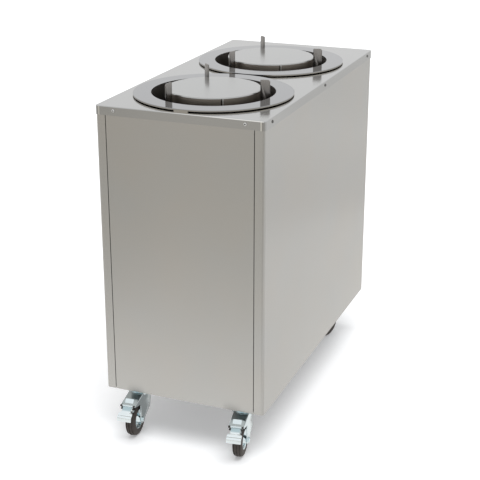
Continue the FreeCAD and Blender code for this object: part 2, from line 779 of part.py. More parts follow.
def spider(prefix, place):
    """The carriage under the platform: three arms reach out of the tube to the rods."""
    tall = (spider_underside, spider_top)
    end = unit_diameter / 2 - s.unit_clearance
    half = s.arm_width / 2
    inner = tube_outer / 2 + s.unit_clearance
    side = bush_diameter / 2 + s.unit_clearance
    spring_side = s.spring_offset + s.spring_diameter / 2
    reach = s.rod_circle + bush_diameter / 2 + s.unit_clearance / 2
    pieces = [rod(prefix + "_spider_hub", s.spider_diameter, tall)]
    drills = []
    for angle in ARM_ANGLES:
        name = "%s_arm_%d" % (prefix, angle)
        pieces.append(box(name, (s.spider_diameter / 4, reach), (-half, half), tall, angle))
        wing = box(name + "_wing", (inner, end + s.arm_width), (-side, spring_side), tall, angle)
        drills.append(rod(name + "_drill", bush_diameter, (bush_low, bush_high), s.rod_circle, 0, angle))
        pieces.append(common(name + "_end", [wing, rod(name + "_disc", 2 * end, tall)]))
    item = cut(prefix + "_spider_cut", fuse(prefix + "_spider_fuse", pieces),
               fuse(prefix + "_spider_drills", drills))
    return node(at_well(item, place), prefix + "_spider")


def bushes(prefix, place):
    """A plain bush on each rod, fixed in the end of its arm."""
    pieces = []
    bore = s.rod_diameter + 2 * s.running_fit
    past = (bush_low - s.over_cut, bush_high + s.over_cut)
    for angle in ARM_ANGLES:
        name = "%s_bush_%d" % (prefix, angle)
        outside = rod(name + "_out", bush_diameter, (bush_low, bush_high), s.rod_circle, 0, angle)
        inside = rod(name + "_in", bore, past, s.rod_circle, 0, angle)
        pieces.append(cut(name, outside, inside))
    return node(at_well(group(prefix + "_bush_group", pieces), place), prefix + "_bushes")


def springs(prefix, place):
    """Lifting springs from the anchor ring to the arms, each as the tube that its coils fill."""
    pieces = []
    for angle in ARM_ANGLES:
        name = "%s_spring_%d" % (prefix, angle)
        low = spider_top + s.spring_hook
        high = ring_underside - s.spring_hook
        where = (s.rod_circle, s.spring_offset, angle)
        outside = rod(name + "_out", s.spring_diameter, (low, high), *where)
        inside = rod(name + "_in", s.spring_diameter - 2 * s.spring_wire,
                     (low + s.spring_wire, high - s.spring_wire), *where)
        hooks = rod(name + "_hooks", s.spring_wire, (spider_top, ring_underside), *where)
        pieces.append(fuse(name, [cut(name + "_coils", outside, inside), hooks]))
    return node(at_well(group(prefix + "_spring_group", pieces), place), prefix + "_springs")


# ---- plate guides ----

ear_top = s.lid_top - s.hinge_drop
ear_bottom = ear_top - s.hinge_span
sleeve_low = ear_bottom + s.ear_wall + s.moving_gap
sleeve_high = ear_top - s.ear_wall - s.moving_gap


def guide_hinges(prefix, place):
    """Ears on the tube's inside, with the pins that the guides turn on."""
    pieces = []
    for angle in GUIDE_ANGLES:
        name = "%s_hinge_%d" % (prefix, angle)
        turn = angle + s.guide_lead
        for end, low in (("lower", ear_bottom), ("upper", ear_top - s.ear_wall)):
            ear = "%s_%s" % (name, end)
            tall = (low, low + s.ear_wall)
            past = (low - s.over_cut, low + s.ear_wall + s.over_cut)
            plate = box(ear + "_plate", (s.guide_circle, opening / 2 + s.ear_width),
                        (-s.ear_width / 2, s.ear_width / 2), tall, turn)
            inside = common(ear + "_inside", [plate, rod(ear + "_limit", opening, tall)])
            eye = rod(ear + "_eye", s.ear_width, tall, s.guide_circle, 0, turn)
            hole = rod(ear + "_hole", s.hinge_pin, past, s.guide_circle, 0, turn)
            pieces.append(cut(ear + "_ear", fuse(ear + "_lug", [inside, eye]), hole))
        pieces.append(rod(name + "_pin", s.hinge_pin, (ear_bottom, ear_top), s.guide_circle, 0, turn))
    return node(at_well(group(prefix + "_hinge_group", pieces), place), prefix + "_guide_hinges")


def plate_guide(prefix, place, number, angle):
    """A flat upright bar on a sleeve, notched where the ears are."""
    name = "%s_guide_%d" % (prefix, number)
    low = s.lid_top - s.guide_tail
    high = s.lid_top + s.guide_height
    notch = -(s.ear_width / 2 + s.ear_clearance)
    above = ear_top + s.moving_gap
    bar = body(name + "_bar")
    points = [(-s.guide_width, low), (notch, low), (notch, sleeve_low), (0, sleeve_low), (0, sleeve_high),
              (notch, sleeve_high), (notch, above), (0, above), (0, high), (-s.guide_width, high)]
    pad(bar, outline(bar, "XZ_Plane", points, -s.guide_wall / 2), s.guide_wall)
    rounded(bar, s.guide_round, lambda middle, edge: (
        along_y(edge) and near(middle.x, 0) and near(middle.z, high.number)))
    rounded(bar, s.guide_nick, lambda middle, edge: (
        along_y(edge) and near(middle.x, -s.guide_width.number) and near(middle.z, high.number)))
    sleeve = rod(name + "_sleeve", s.hinge_sleeve, (sleeve_low, sleeve_high))
    past = (sleeve_low - s.over_cut, sleeve_high + s.over_cut)
    bore = rod(name + "_bore", s.hinge_pin + 2 * s.running_fit, past)
    item = cut(name + "_cut", fuse(name + "_fuse", [bar, sleeve]), bore)
    around = angle + s.guide_lead
    put(item, 0, 0, 0, angle + s.guide_turn, centre + place + s.guide_circle * cosine(around),
        s.guide_circle * sine(around))
    return node(item, name)


# ---- casters: each is drawn about its own swivel axis, then swivelled and moved ----

wheel_radius = s.wheel_diameter / 2
fork_outer = s.fork_gap / 2 + s.fork_wall
crown_bottom = s.crown_top - s.crown_wall
kingpin_top = s.cabinet_bottom + s.pan_wall + s.channel_wall + s.nut_height + s.bolt_end
kingpin_head_top = crown_bottom - s.moving_gap


def caster_heads():
    """The fixed head of each caster, a plate over the ball race."""
    pieces = []
    low = s.crown_top + s.moving_gap
    high = s.cabinet_bottom
    plate = high - s.head_wall
    bore = s.kingpin_diameter / 2
    race = s.race_diameter / 2
    flat = s.head_diameter / 2
    profile = [(bore, low), (race - s.race_bevel, low), (race, low + s.race_bevel), (race, plate),
               (flat, plate), (flat, high), (bore, high)]
    for caster, place, side, _, _ in CASTERS:
        head = turned("head_" + caster, "XZ_Plane", "V_Axis", profile)
        pieces.append(put(head, place, side * caster_side))
    return node(bind_shift(group("caster_head_group", pieces)), "caster_heads")


def caster_bolts():
    """The bolt that each fork swivels on, up through the head, the pan and the channel."""
    pieces = []
    low = kingpin_head_top - s.kingpin_head_height
    for caster, place, side, _, _ in CASTERS:
        where = (place, side * caster_side)
        head = prism("bolt_head_" + caster, s.kingpin_head, (low, kingpin_head_top), *where)
        shank = rod("bolt_shank_" + caster, s.kingpin_diameter, (low, kingpin_top), *where)
        pieces.append(fuse("bolt_" + caster, [head, shank]))
    return node(bind_shift(group("caster_bolt_group", pieces)), "caster_bolts")


def caster_nuts():
    pieces = []
    low = s.cabinet_bottom + s.pan_wall + s.channel_wall
    high = low + s.nut_height
    for caster, place, side, _, _ in CASTERS:
        where = (place, side * caster_side)
        blank = prism("nut_blank_" + caster, s.kingpin_head, (low, high), *where)
        hole = rod("nut_hole_" + caster, s.kingpin_diameter, (low - s.over_cut, high + s.over_cut), *where)
        pieces.append(cut("nut_" + caster, blank, hole))
    return node(bind_shift(group("caster_nut_group", pieces)), "caster_nuts")


def at_caster(item, place, side, yaw, back=0, z=0):
    """Swivel a piece and move it to its caster, its own origin behind the swivel axis by back."""
    return put(item, -as_size(back), 0, z, yaw, centre + place, side * caster_side)


def fork(caster, place, side, yaw, braked):
    """The pressed fork: a crown, two sides that taper to the axle and a hood back over the wheel."""
    name = caster + "_fork"
    start = s.crown_diameter / 2 - s.hood_root
    crown = rod(name + "_crown", s.crown_diameter, (crown_bottom, s.crown_top))
    boss = s.boss_diameter / 2
    hood_end = s.crown_top - s.hood_fall
    shoulder = s.crown_top - s.fork_wall / 2
    flank = [(s.flank_root, shoulder), (s.flank_waist, s.flank_waist_height),
             (s.flank_knee, s.flank_knee_height),
             (-s.wheel_trail + boss * sine(s.flank_lean), wheel_radius - boss * cosine(s.flank_lean)),
             (-s.wheel_trail - boss, wheel_radius), (-s.wheel_trail - boss, s.flank_notch),
             (-s.hood_reach, hood_end - s.lip_end), (-s.hood_reach, hood_end), (-start, s.crown_top),
             (-start, shoulder)]
    pieces = [crown]
    for hand, y in (("left", -fork_outer), ("right", s.fork_gap / 2)):
        flat = body("%s_%s_side" % (name, hand))
        pad(flat, outline(flat, "XZ_Plane", flank, -(y + s.fork_wall)), s.fork_wall)
        pieces.append(flat)
        pieces.append(cross_rod("%s_%s_boss" % (name, hand), s.boss_diameter, (y, y + s.fork_wall),
                                -s.wheel_trail, wheel_radius))
    hood = body(name + "_hood")
    slope = [(-start, s.crown_top), (-s.hood_reach, hood_end), (-s.hood_reach, hood_end - s.fork_wall),
             (-start, s.crown_top - s.fork_wall)]
    pad(hood, outline(hood, "XZ_Plane", slope, -fork_outer), 2 * fork_outer)
    pieces.append(hood)
    if braked:
        pieces.append(cross_rod(name + "_pin", s.pedal_pin, (-fork_outer, fork_outer),
                                -s.pedal_pivot_back, s.pedal_pivot_height))
    past = (crown_bottom - s.over_cut, s.crown_top + s.over_cut)
    drills = fuse(name + "_drills", [
        rod(name + "_kingpin_hole", s.kingpin_diameter + 2 * s.running_fit, past),
        cross_rod(name + "_axle_hole", s.axle_diameter, (-2 * fork_outer, 2 * fork_outer),
                  -s.wheel_trail, wheel_radius)])
    item = cut(name + "_cut", fuse(name + "_fuse", pieces), drills)
    return node(at_caster(item, place, side, yaw), name)


def axle(caster, place, side, yaw):
    """The axle bolt and its nut."""
    name = caster + "_axle"
    where = (-s.wheel_trail, wheel_radius)
    tip = fork_outer + s.axle_head_height + s.axle_tip
    shank = cross_rod(name + "_shank", s.axle_diameter, (-fork_outer - s.axle_head_height, tip), *where)
    head = cross_prism(name + "_head", s.axle_head, (-fork_outer - s.axle_head_height, -fork_outer), *where)
    nut = (fork_outer, fork_outer + s.axle_head_height)
    blank = cross_prism(name + "_nut_blank", s.axle_head, nut, *where)
    hole = cross_rod(name + "_nut_hole", s.axle_diameter, (fork_outer - s.over_cut, tip), *where)
    bolt = fuse(name + "_bolt", [shank, head])
    item = group(name + "_group", [bolt, cut(name + "_nut", blank, hole)])
    return node(at_caster(item, place, side, yaw), name)


def tyre(caster, place, side, yaw):
    """The rubber tyre, with two grooves round its tread."""
    name = caster + "_tyre"
    half = s.tyre_width / 2
    seat = s.rim_diameter / 2
    groove = s.tyre_groove
    tread = [(half, seat), (half, wheel_radius - s.tyre_round), (half - s.tyre_round, wheel_radius)]
    for middle in (s.groove_place, -s.groove_place):
        tread += [(middle + groove, wheel_radius), (middle, wheel_radius - groove),
                  (middle - groove, wheel_radius)]
    tread += [(s.tyre_round - half, wheel_radius), (-half, wheel_radius - s.tyre_round), (-half, seat)]
    item = turned(name + "_body", "YZ_Plane", "H_Axis", tread)
    return node(at_caster(item, place, side, yaw, s.wheel_trail, wheel_radius), name)


def rim(caster, place, side, yaw):
    """The pressed rim: a seat under the tyre, a dished disc and a hub that runs on the axle."""
    name = caster + "_rim"
    seat = s.rim_diameter / 2
    inside = seat - s.rim_wall
    bore = s.axle_diameter / 2 + s.running_fit
    hub = s.hub_diameter / 2
    half = s.rim_width / 2
    web = s.rim_wall / 2
    shoulder = web + s.rim_wall
    reach = s.fork_gap / 2 - s.moving_gap
    right = [(reach, bore), (reach, s.hub_end / 2), (shoulder, hub), (web, hub + web), (web, inside - web),
             (shoulder, inside), (half, inside), (half, seat)]
    profile = right + [(-y, r) for y, r in reversed(right)]
    item = turned(name + "_body", "YZ_Plane", "H_Axis", profile)
    return node(at_caster(item, place, side, yaw, s.wheel_trail, wheel_radius), name)


def pedal(caster, place, side, yaw):
    """The brake pedal: a sleeve on the fork's pin, a neck out under the hood and a bent tread."""
    name = caster + "_pedal"
    x = -s.pedal_pivot_back
    z = s.pedal_pivot_height
    wall = s.pedal_wall
    neck = body(name + "_neck")
    knee = x - s.pedal_reach
    top = z + s.pedal_rise
    level = z - s.pedal_sink
    rail = [(x, z), (x, top), (knee, level), (knee, level - wall), (x - wall, z - wall)]
    pad(neck, outline(neck, "XZ_Plane", rail, -s.pedal_neck / 2), s.pedal_neck)
    tread = body(name + "_tread")
    brow_x = knee - s.tread_run
    brow_z = level - s.tread_fall
    tip_x = brow_x - s.tip_run
    tip_z = brow_z - s.tip_fall
    fall = [(knee + s.tread_root, level), (knee, level), (brow_x, brow_z), (tip_x, tip_z),
            (tip_x + wall, tip_z), (brow_x + wall, brow_z - wall / 2), (knee, level - wall),
            (knee + s.tread_root, level - wall / 2)]
    pad(tread, outline(tread, "XZ_Plane", fall, -s.pedal_width / 2), s.pedal_width)
    sleeve = cross_rod(name + "_sleeve", s.pedal_sleeve, (-s.pedal_neck / 2, s.pedal_neck / 2), x, z)
    shoe_half = s.tyre_width / 2 - s.shoe_inset
    shoe = box(name + "_shoe", (x - s.shoe_length, x), (-shoe_half, shoe_half), (z - s.shoe_depth, z))
    # the wheel as the pressed pedal meets it, in the frame of the pedal at rest
    run_x = s.pedal_pivot_back - s.wheel_trail
    drop = wheel_radius - s.pedal_pivot_height
    turn = s.pedal_stroke
    meet_x = x + run_x * cosine(turn) + drop * sine(turn)
    meet_z = z - run_x * sine(turn) + drop * cosine(turn)
    wheel = cross_rod(name + "_wheel", s.wheel_diameter + 2 * s.shoe_gap,
                      (-s.tyre_width, s.tyre_width), meet_x, meet_z)
    bore = cross_rod(name + "_bore", s.pedal_pin + 2 * s.running_fit, (-s.tyre_width, s.tyre_width), x, z)
    item = cut(name + "_cut", fuse(name + "_fuse", [neck, tread, sleeve, shoe]),
               fuse(name + "_drills", [wheel, bore]))
    return node(at_caster(item, place, side, yaw), name)


# ---- the whole cart ----

holes = screw_holes()
lid(holes)
side_panel("left_panel", -1, holes)
side_panel("right_panel", 1, holes)
end_panel("front_panel", -1, holes)
end_panel("rear_panel", 1, holes)
base_pan()
base_channels()
cross_rail()
lid_screws()
caster_heads()
caster_bolts()
caster_nuts()
for prefix, place in WELLS:
    for piece in (collar, tube, anchor_ring, base_plate, guide_rods, guide_hinges,
                  platform, posts, spider, bushes, springs):
        piece(prefix, place)
    for number, angle in enumerate(GUIDE_ANGLES, start=1):
        plate_guide(prefix, place, number, angle)
for caster, place, side, yaw, braked in CASTERS:
    fork(caster, place, side, yaw, braked)
    for piece in (axle, tyre, rim):
        piece(caster, place, side, yaw)
    if braked:
        pedal(caster, place, side, yaw)

doc.recompute()

for item in doc.Objects:
    if "Invalid" in item.State or "Error" in item.State:
        raise ValueError("%s failed: %s" % (item.Label, item.State))
for item in nodes:
    if item.Shape.isNull() or not item.Shape.isValid():
        raise ValueError("%s has no sound shape" % item.Label)
for item in nodes:
    item.Shape.exportStep("parts/%s.step" % item.Label)
whole = Part.makeCompound([item.Shape for item in nodes]).BoundBox
print("nodes:", len(nodes))
print("box: %.2f to %.2f, %.2f to %.2f, %.2f to %.2f" % (
    whole.XMin, whole.XMax, whole.YMin, whole.YMax, whole.ZMin, whole.ZMax))
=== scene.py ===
import math

import bpy
from mathutils import Matrix, Vector


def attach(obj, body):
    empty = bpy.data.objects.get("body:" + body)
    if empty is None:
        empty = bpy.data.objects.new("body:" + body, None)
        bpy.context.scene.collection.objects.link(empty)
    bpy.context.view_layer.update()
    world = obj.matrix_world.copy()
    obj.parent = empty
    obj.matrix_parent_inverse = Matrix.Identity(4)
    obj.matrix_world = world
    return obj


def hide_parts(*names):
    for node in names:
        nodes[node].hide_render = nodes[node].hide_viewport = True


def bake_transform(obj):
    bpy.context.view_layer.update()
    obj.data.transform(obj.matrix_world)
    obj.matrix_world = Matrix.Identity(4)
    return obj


# A two-well plate dispenser cart in folded stainless sheet. Metres; the front end (-X) has the
# braked casters, left is -Y, the floor is z = 0.

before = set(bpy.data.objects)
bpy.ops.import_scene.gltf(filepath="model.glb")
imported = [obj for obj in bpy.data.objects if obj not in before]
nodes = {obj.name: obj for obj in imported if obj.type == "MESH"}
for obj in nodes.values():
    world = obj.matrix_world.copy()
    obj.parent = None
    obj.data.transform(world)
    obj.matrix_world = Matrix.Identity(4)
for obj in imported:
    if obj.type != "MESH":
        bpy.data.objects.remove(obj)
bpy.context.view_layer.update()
scene = bpy.context.scene

# ---- places on the cart ----

MM = 0.001
CENTRE_X = 35.95 * MM
PANEL_FRONT = -440 * MM  # a little behind the sheets of the front end
PANEL_LOW = 142 * MM
LID_TOP = 972 * MM
LID_HALF_LENGTH = 490 * MM
LID_HALF_WIDTH = 241 * MM
# where the middle of each well lies along the cart
WELLS = {"front": CENTRE_X - 251.2 * MM, "rear": CENTRE_X + 202.4 * MM}
COLLAR_TOP = 978.8 * MM
PLATFORM_TOP = 989.6 * MM
PLATFORM_BEND = 3 * MM

# ---- camera ----

CAMERA_PLACE = (-3.1412, -1.2343, 1.7251)
CAMERA_AZIMUTH = math.radians(-68.43)
CAMERA_ELEVATION = math.radians(20.43)
LENS = 88.57


def photo_camera():
    """The camera as it was solved from the photo's corners and circles."""
    lens = bpy.data.cameras.new("camera")
    lens.lens = LENS
    lens.sensor_width = 36
    lens.clip_start = 0.05
    lens.clip_end = 200
    camera = bpy.data.objects.new("camera", lens)
    scene.collection.objects.link(camera)
    level = math.cos(CAMERA_ELEVATION)
    back = Vector((math.sin(CAMERA_AZIMUTH) * level, -math.cos(CAMERA_AZIMUTH) * level,
                   math.sin(CAMERA_ELEVATION)))
    right = Vector((0, 0, 1)).cross(back).normalized()
    turn = Matrix((right, back.cross(right), back)).transposed().to_4x4()
    camera.matrix_world = Matrix.Translation(CAMERA_PLACE) @ turn
    scene.camera = camera


photo_camera()
scene.view_settings.view_transform = "Standard"

# ---- shader helpers ----

# the colours of marks, painted highlights and dark lines and painted shade, and how full a thin line is
# before it is clamped
SHINE = (0.95, 0.94, 0.90)
DARK_LINE_AND_SHADE = (0.035, 0.03, 0.025)
LINE_PEAK = 1.6
# how far brushed metal goes below and above its base colour, and its patches of warm and cool
TONE_DARK, TONE_BRIGHT = 0.72, 1.28
HUE_SCALE, HUE_CONTRAST, HUE_SHIFT = 4.2, 2.4, 0.7


class Field:
    """A socket whose sums are written as on paper; each sum adds its own Math node."""

    def __init__(self, tree, socket):
        self.tree = tree
        self.socket = socket

    def sum(self, operation, *values, clamp=False):
        maths = self.tree.nodes.new("ShaderNodeMath")
        maths.operation = operation
        maths.use_clamp = clamp
        for slot, value in zip(maths.inputs, values):
            connect(self.tree, value, slot)
        return Field(self.tree, maths.outputs[0])

    def __add__(self, other):
        return self.sum("ADD", self, other)

    def __radd__(self, other):
        return self.sum("ADD", other, self)

    def __sub__(self, other):
        return self.sum("SUBTRACT", self, other)

    def __rsub__(self, other):
        return self.sum("SUBTRACT", other, self)

    def __mul__(self, other):
        return self.sum("MULTIPLY", self, other)

    def __truediv__(self, other):
        return self.sum("DIVIDE", self, other)

    def size(self):
        """Without its sign."""
        return self.sum("ABSOLUTE", self)

    def at_least(self, other):
        return self.sum("MAXIMUM", self, other)

    def clamped(self):
        """Held between 0 and 1."""
        return self.sum("ADD", self, 0.0, clamp=True)

    def line(self, middle, half):
        """1 on a thin line across this scale, soft at its edges, and 0 beside it."""
        return (LINE_PEAK - (self - middle).size() / half).clamped()


def connect(tree, value, slot):
    """Link a field to a socket, or give the socket a plain value."""
    if isinstance(value, Field):
        tree.links.new(value.socket, slot)
    elif value is not None:
        slot.default_value = value


class Finish:
    """A procedural material round one Principled shader."""

    def __init__(self, name, **constants):
        self.material = bpy.data.materials.new(name)
        self.material.use_nodes = True
        self.tree = self.material.node_tree
        self.shader = self.tree.nodes["Principled BSDF"]
        for word, value in constants.items():
            self.feed(word.replace("_", " ").title().replace("Ior", "IOR"), value)

    def feed(self, socket, value):
        """Give the Principled shader a value or a field."""
        if not isinstance(value, Field) and socket == "Base Color" and len(value) == 3:
            value = (*value, 1)
        connect(self.tree, value, self.shader.inputs[socket])

    def make(self, kind, settings=None, output=0, **sockets):
        """Any other node: its type, its settings, then the values or links of its sockets.

        A socket goes by its name, or by i and its number."""
        item = self.tree.nodes.new("ShaderNode" + kind)
        settings = dict(settings or {})
        stops = settings.pop("stops", None)
        for word, value in settings.items():
            setattr(item, word, value)
        if stops:
            ramp = item.color_ramp
            while len(ramp.elements) > 1:
                ramp.elements.remove(ramp.elements[-1])
            ramp.elements[0].position = stops[0][0]
            ramp.elements[0].color = stops[0][1]
            for place, colour in stops[1:]:
                ramp.elements.new(place).color = colour
        for word, value in sockets.items():
            key = int(word[1:]) if word[0] == "i" and word[1:].isdigit() else word.replace("_", " ")
            connect(self.tree, value, item.inputs[key])
        return Field(self.tree, item.outputs[output])

    def places(self):
        """Where a point is on the object, in metres."""
        return self.make("TexCoord", output="Object")

    def axis(self, letter):
        """One coordinate of a point on the object."""
        return self.make("SeparateXYZ", output=letter, i0=self.places())

    def noise(self, scale, stretch=(1, 1, 1), detail=2.0, rough=0.5, shift=(0, 0, 0)):
        """Noise from 0 to 1, its grain finer along an axis the larger that axis's stretch."""
        place = self.make("Mapping", i0=self.places(), i1=shift, i3=stretch)
        return self.make("TexNoise", Vector=place, Scale=scale, Detail=detail, Roughness=rough)

    def blend(self, factor, low, high):
        """From one colour to another."""
        mixed = self.make("Mix", dict(data_type="RGBA"), output=2, i0=factor)
        item = mixed.socket.node
        for slot, colour in ((item.inputs[6], low), (item.inputs[7], high)):
            if not isinstance(colour, Field) and len(colour) == 3:
                colour = (*colour, 1)
            connect(self.tree, colour, slot)
        return mixed

    def ramp(self, value, stops):
        """A colour for each place on a scale from 0 to 1."""
        return self.make("ValToRGB", dict(stops=stops), i0=value)

    def bump(self, height, depth, distance):
        self.feed("Normal", self.make("Bump", i0=depth, i1=distance, Height=height))

    def paint(self, *marks):
        """The base colour, darker and lighter by the finish's tone, then marks in their colours."""
        low, high = (tuple(min(1, part * shade) for part in self.base)
                     for shade in (TONE_DARK, TONE_BRIGHT))
        colour = self.blend(self.tone.clamped(), low, high)
        if self.tint:
            hue = (self.noise(HUE_SCALE, shift=(4, 3, 1)) * HUE_CONTRAST - HUE_SHIFT).clamped()
            cast = self.blend(hue, (1 + self.tint, 1, 1 - self.tint), (1 - self.tint, 1, 1 + self.tint))
            colour = self.make("Mix", dict(data_type="RGBA", blend_type="MULTIPLY"), output=2,
                               i0=1.0, i6=colour, i7=cast)
        for place, mark in marks:
            colour = self.blend(place, colour, mark)
        self.feed("Base Color", colour)


def dress(piece, finish):
    """Give a piece one finish and no other."""
    piece.data.materials.clear()
    piece.data.materials.append(finish.material)


# ---- stage ----

SUN_FROM = Vector((-0.5, -0.5, 3))
SUN_STRENGTH = 2.15
SUN_ANGLE = math.radians(50)
SKY = 0.4
SKY_IN_METAL = 0.9
PAPER_LIT = (0.84, 0.845, 0.86)
PAPER_SEEN = (0.985, 0.99, 1)
PAPER_GLOW = (0.975, 0.985, 1)
PAPER_LIFT = 0.26
# the paper as metal sees it: darker far in front of the cart, and a little darker on its left
GLOW_START, GLOW_END = -3.0, -0.7
GLOW_STOPS = (
    (0.0, (0.60, 0.578, 0.535, 1)), (0.2, (0.61, 0.592, 0.552, 1)), (0.5, (0.66, 0.648, 0.615, 1)),
    (0.75, (0.78, 0.77, 0.745, 1)), (1.0, (0.93, 0.922, 0.905, 1)),
)
SIDE_NEAR, SIDE_FAR, SIDE_LOSS = -0.1, -0.45, 0.12
# far on the left a soft shade lies on the paper past a slanting line, and fades away from it
ROOM_Y, ROOM_SLOPE, ROOM_BLUR, ROOM_LOSS = -1.758, 0.67, 0.03, 0.11
ROOM_END, ROOM_FADE = 2.1, 1.5
ROOM_BACK, ROOM_RISE = 3.1, 3.5
# and the paper is a little darker on the right, past a line that slants out from the front
RIGHT_START, RIGHT_REACH, RIGHT_LOSS = 0.45, 0.4, 0.1
RIGHT_SLOPE, RIGHT_BLUR = 0.53, 0.2
# the cart's own shadow, as the metal of the casters sees it
SHADE_HALF_LENGTH, SHADE_HALF_WIDTH, SHADE_BLUR, SHADE_LOSS = 0.5, 0.2, 0.09, 0.72


def light_rays(tree, *kinds):
    """For each kind of ray a field that is 1 when it hits."""
    rays = tree.nodes.new("ShaderNodeLightPath")
    return [Field(tree, rays.outputs["Is %s Ray" % kind]) for kind in kinds]


def paper_strength(along, out):
    """How bright the paper is to metal, from its shades beside, ahead of and under the cart."""
    beside = ((SIDE_NEAR - out) / (SIDE_NEAR - SIDE_FAR)).clamped()
    past = along * ROOM_SLOPE + ROOM_Y - out
    farther = (along - ROOM_BACK).at_least(0.0) * ROOM_RISE
    room = (past / ROOM_BLUR).clamped() * ((farther + ROOM_END - past) / ROOM_FADE).clamped()
    right = (((out + (along - PANEL_FRONT) * RIGHT_SLOPE) / RIGHT_BLUR).clamped()
             * ((out - RIGHT_START) / RIGHT_REACH).clamped())
    under = (((SHADE_HALF_LENGTH - (along - CENTRE_X).size()) / SHADE_BLUR).clamped()
             * ((SHADE_HALF_WIDTH - out.size()) / SHADE_BLUR).clamped())
    shade = beside * SIDE_LOSS + room * ROOM_LOSS + right * RIGHT_LOSS
    return (1 - shade) * (1 - under * SHADE_LOSS)


def paper_floor():
    """Plain paper to the camera and to the light, and an uneven glow to metal."""
    bpy.ops.object.select_all(action="DESELECT")
    bpy.ops.mesh.primitive_plane_add(size=60, location=(0, 0, 0))
    floor = bpy.context.object
    floor.name = "floor"
    paper = Finish("studio_paper", roughness=0.9)
    tree = paper.tree
    seen, glossy, passed = light_rays(tree, "Camera", "Glossy", "Transmission")
    paper.feed("Base Color", paper.blend(seen, PAPER_LIT, PAPER_SEEN))
    paper.feed("Emission Color", paper.blend(seen * PAPER_LIFT, (0, 0, 0), PAPER_GLOW))
    paper.feed("Emission Strength", 1.0)
    along, out = paper.axis("X"), paper.axis("Y")
    near = ((along - GLOW_START) / (GLOW_END - GLOW_START)).clamped()
    glow = tree.nodes.new("ShaderNodeEmission")
    connect(tree, paper.ramp(near, GLOW_STOPS), glow.inputs[0])
    connect(tree, paper_strength(along, out), glow.inputs[1])
    mix = tree.nodes.new("ShaderNodeMixShader")
    connect(tree, (glossy + passed).clamped(), mix.inputs[0])
    tree.links.new(paper.shader.outputs[0], mix.inputs[1])
    tree.links.new(glow.outputs[0], mix.inputs[2])
    tree.links.new(mix.outputs[0], tree.nodes["Material Output"].inputs[0])
    dress(floor, paper)


def sky():
    """White to the camera, a little less in metal, and much less as light."""
    world = bpy.data.worlds.new("studio")
    scene.world = world
    world.use_nodes = True
    tree = world.node_tree
    seen, glossy = light_rays(tree, "Camera", "Glossy")
    strength = SKY + (seen + glossy).clamped() * (1 - SKY) - glossy * (1 - SKY_IN_METAL)
    background = tree.nodes["Background"]
    background.inputs[0].default_value = (1, 1, 1, 1)
    connect(tree, strength, background.inputs[1])


def key_light():
    """One wide soft light from above, left out of the metal's reflections."""
    lamp = bpy.data.lights.new("key", "SUN")
    lamp.energy = SUN_STRENGTH
    lamp.angle = SUN_ANGLE
    holder = bpy.data.objects.new("key", lamp)
    holder.location = SUN_FROM
    holder.rotation_mode = "QUATERNION"
    holder.rotation_quaternion = (-SUN_FROM).to_track_quat("-Z", "Y")
    holder.visible_glossy = False
    scene.collection.objects.link(holder)


paper_floor()
sky()
key_light()

# ---- finishes ----
# A name that ends in _EDGE is how fast a mark rises from 0 to 1, per metre.

EVEN = (1, 1, 1)
UPRIGHT = (1, 1, 0.012)
LEVEL = (0.012, 0.012, 1)
ALONG_X = (0.012, 1, 1)
ALONG_Y = (1, 0.012, 1)
LINE_SCALE = 900
BAND_SCALE = 100
BAND_SHARE = 0.8
CLOUD_SCALE = 3.2
SMUDGE_SCALE = 9
LINE_ROUGHNESS = 0.10
SMUDGE_ROUGHNESS = 0.06
LINE_DISTANCE = 0.0004


def steel(name, base, rough, grain, streak=0.05, bump=0.02, cloud=0.03, tint=0.0, marked=False):
    """Brushed sheet: fine lines along the axes whose grain factors are small.

    A marked finish isn't painted here, but by its own function once the marks are there."""
    finish = Finish(name, metallic=1.0)
    lines = finish.noise(LINE_SCALE, grain, detail=3, rough=0.6)
    bands = finish.noise(BAND_SCALE, grain, shift=(3, 1, 2))
    clouds = finish.noise(CLOUD_SCALE, shift=(1, 5, 2))
    tone = (lines - 0.5) * streak + (bands - 0.5) * streak * BAND_SHARE + (clouds - 0.5) * cloud
    finish.tone = tone + 0.5
    finish.base = base
    finish.tint = tint
    if not marked:
        finish.paint()
    smudge = finish.noise(SMUDGE_SCALE, detail=4, rough=0.6)
    finish.feed("Roughness", (rough + (lines - 0.5) * LINE_ROUGHNESS
                              + (smudge - 0.5) * SMUDGE_ROUGHNESS).clamped())
    finish.bump(lines, bump, LINE_DISTANCE)
    return finish


# a painted reflection: the front end's sheet is darker low down above each caster, where it mirrors the
# dark caster
CASTER_REFLECTION_HEIGHT = 34 * MM
CASTER_REFLECTION_Y = 148 * MM
CASTER_REFLECTION_HALF = 30 * MM
CASTER_REFLECTION_LOSS = 0.62
CASTER_REFLECTION_EDGE = 1000


def panel_finish():
    """Level brushed sheet, with a painted dark reflection of the swivelling casters low on its front
    end.
    """
    finish = steel("sheet_steel", (0.56, 0.552, 0.532), 0.24, LEVEL, streak=0.016, bump=0.002,
                   cloud=0.05, tint=0.014, marked=True)
    # painted reflection of the dark casters, low on the front end above each one
    low = (1 - (finish.axis("Z") - PANEL_LOW) / CASTER_REFLECTION_HEIGHT).clamped()
    beside = (finish.axis("Y").size() - CASTER_REFLECTION_Y).size() / CASTER_REFLECTION_HALF
    front = ((PANEL_FRONT - finish.axis("X")) * CASTER_REFLECTION_EDGE).clamped()
    finish.tone = finish.tone - low * low * (1 - beside * beside).clamped() * front * CASTER_REFLECTION_LOSS
    finish.paint()
    return finish


# a painted highlight along the bend at the lid's front, strongest on its left, and near each front
# corner a painted highlight beside a darker line
BEND_WIDTH = 1.8 * MM
BEND_EDGE = 1500
BEND_SHINE = 0.85
BEND_SIDE, BEND_SIDE_EDGE = 0.08, 5
CORNER_LINE = 2 * MM
CORNER_EDGE = 2000
CORNER_BRIGHT, CORNER_SHINE = -6 * CORNER_LINE, 0.6
CORNER_DARK, CORNER_DARKENING = -3.4 * CORNER_LINE, 0.5


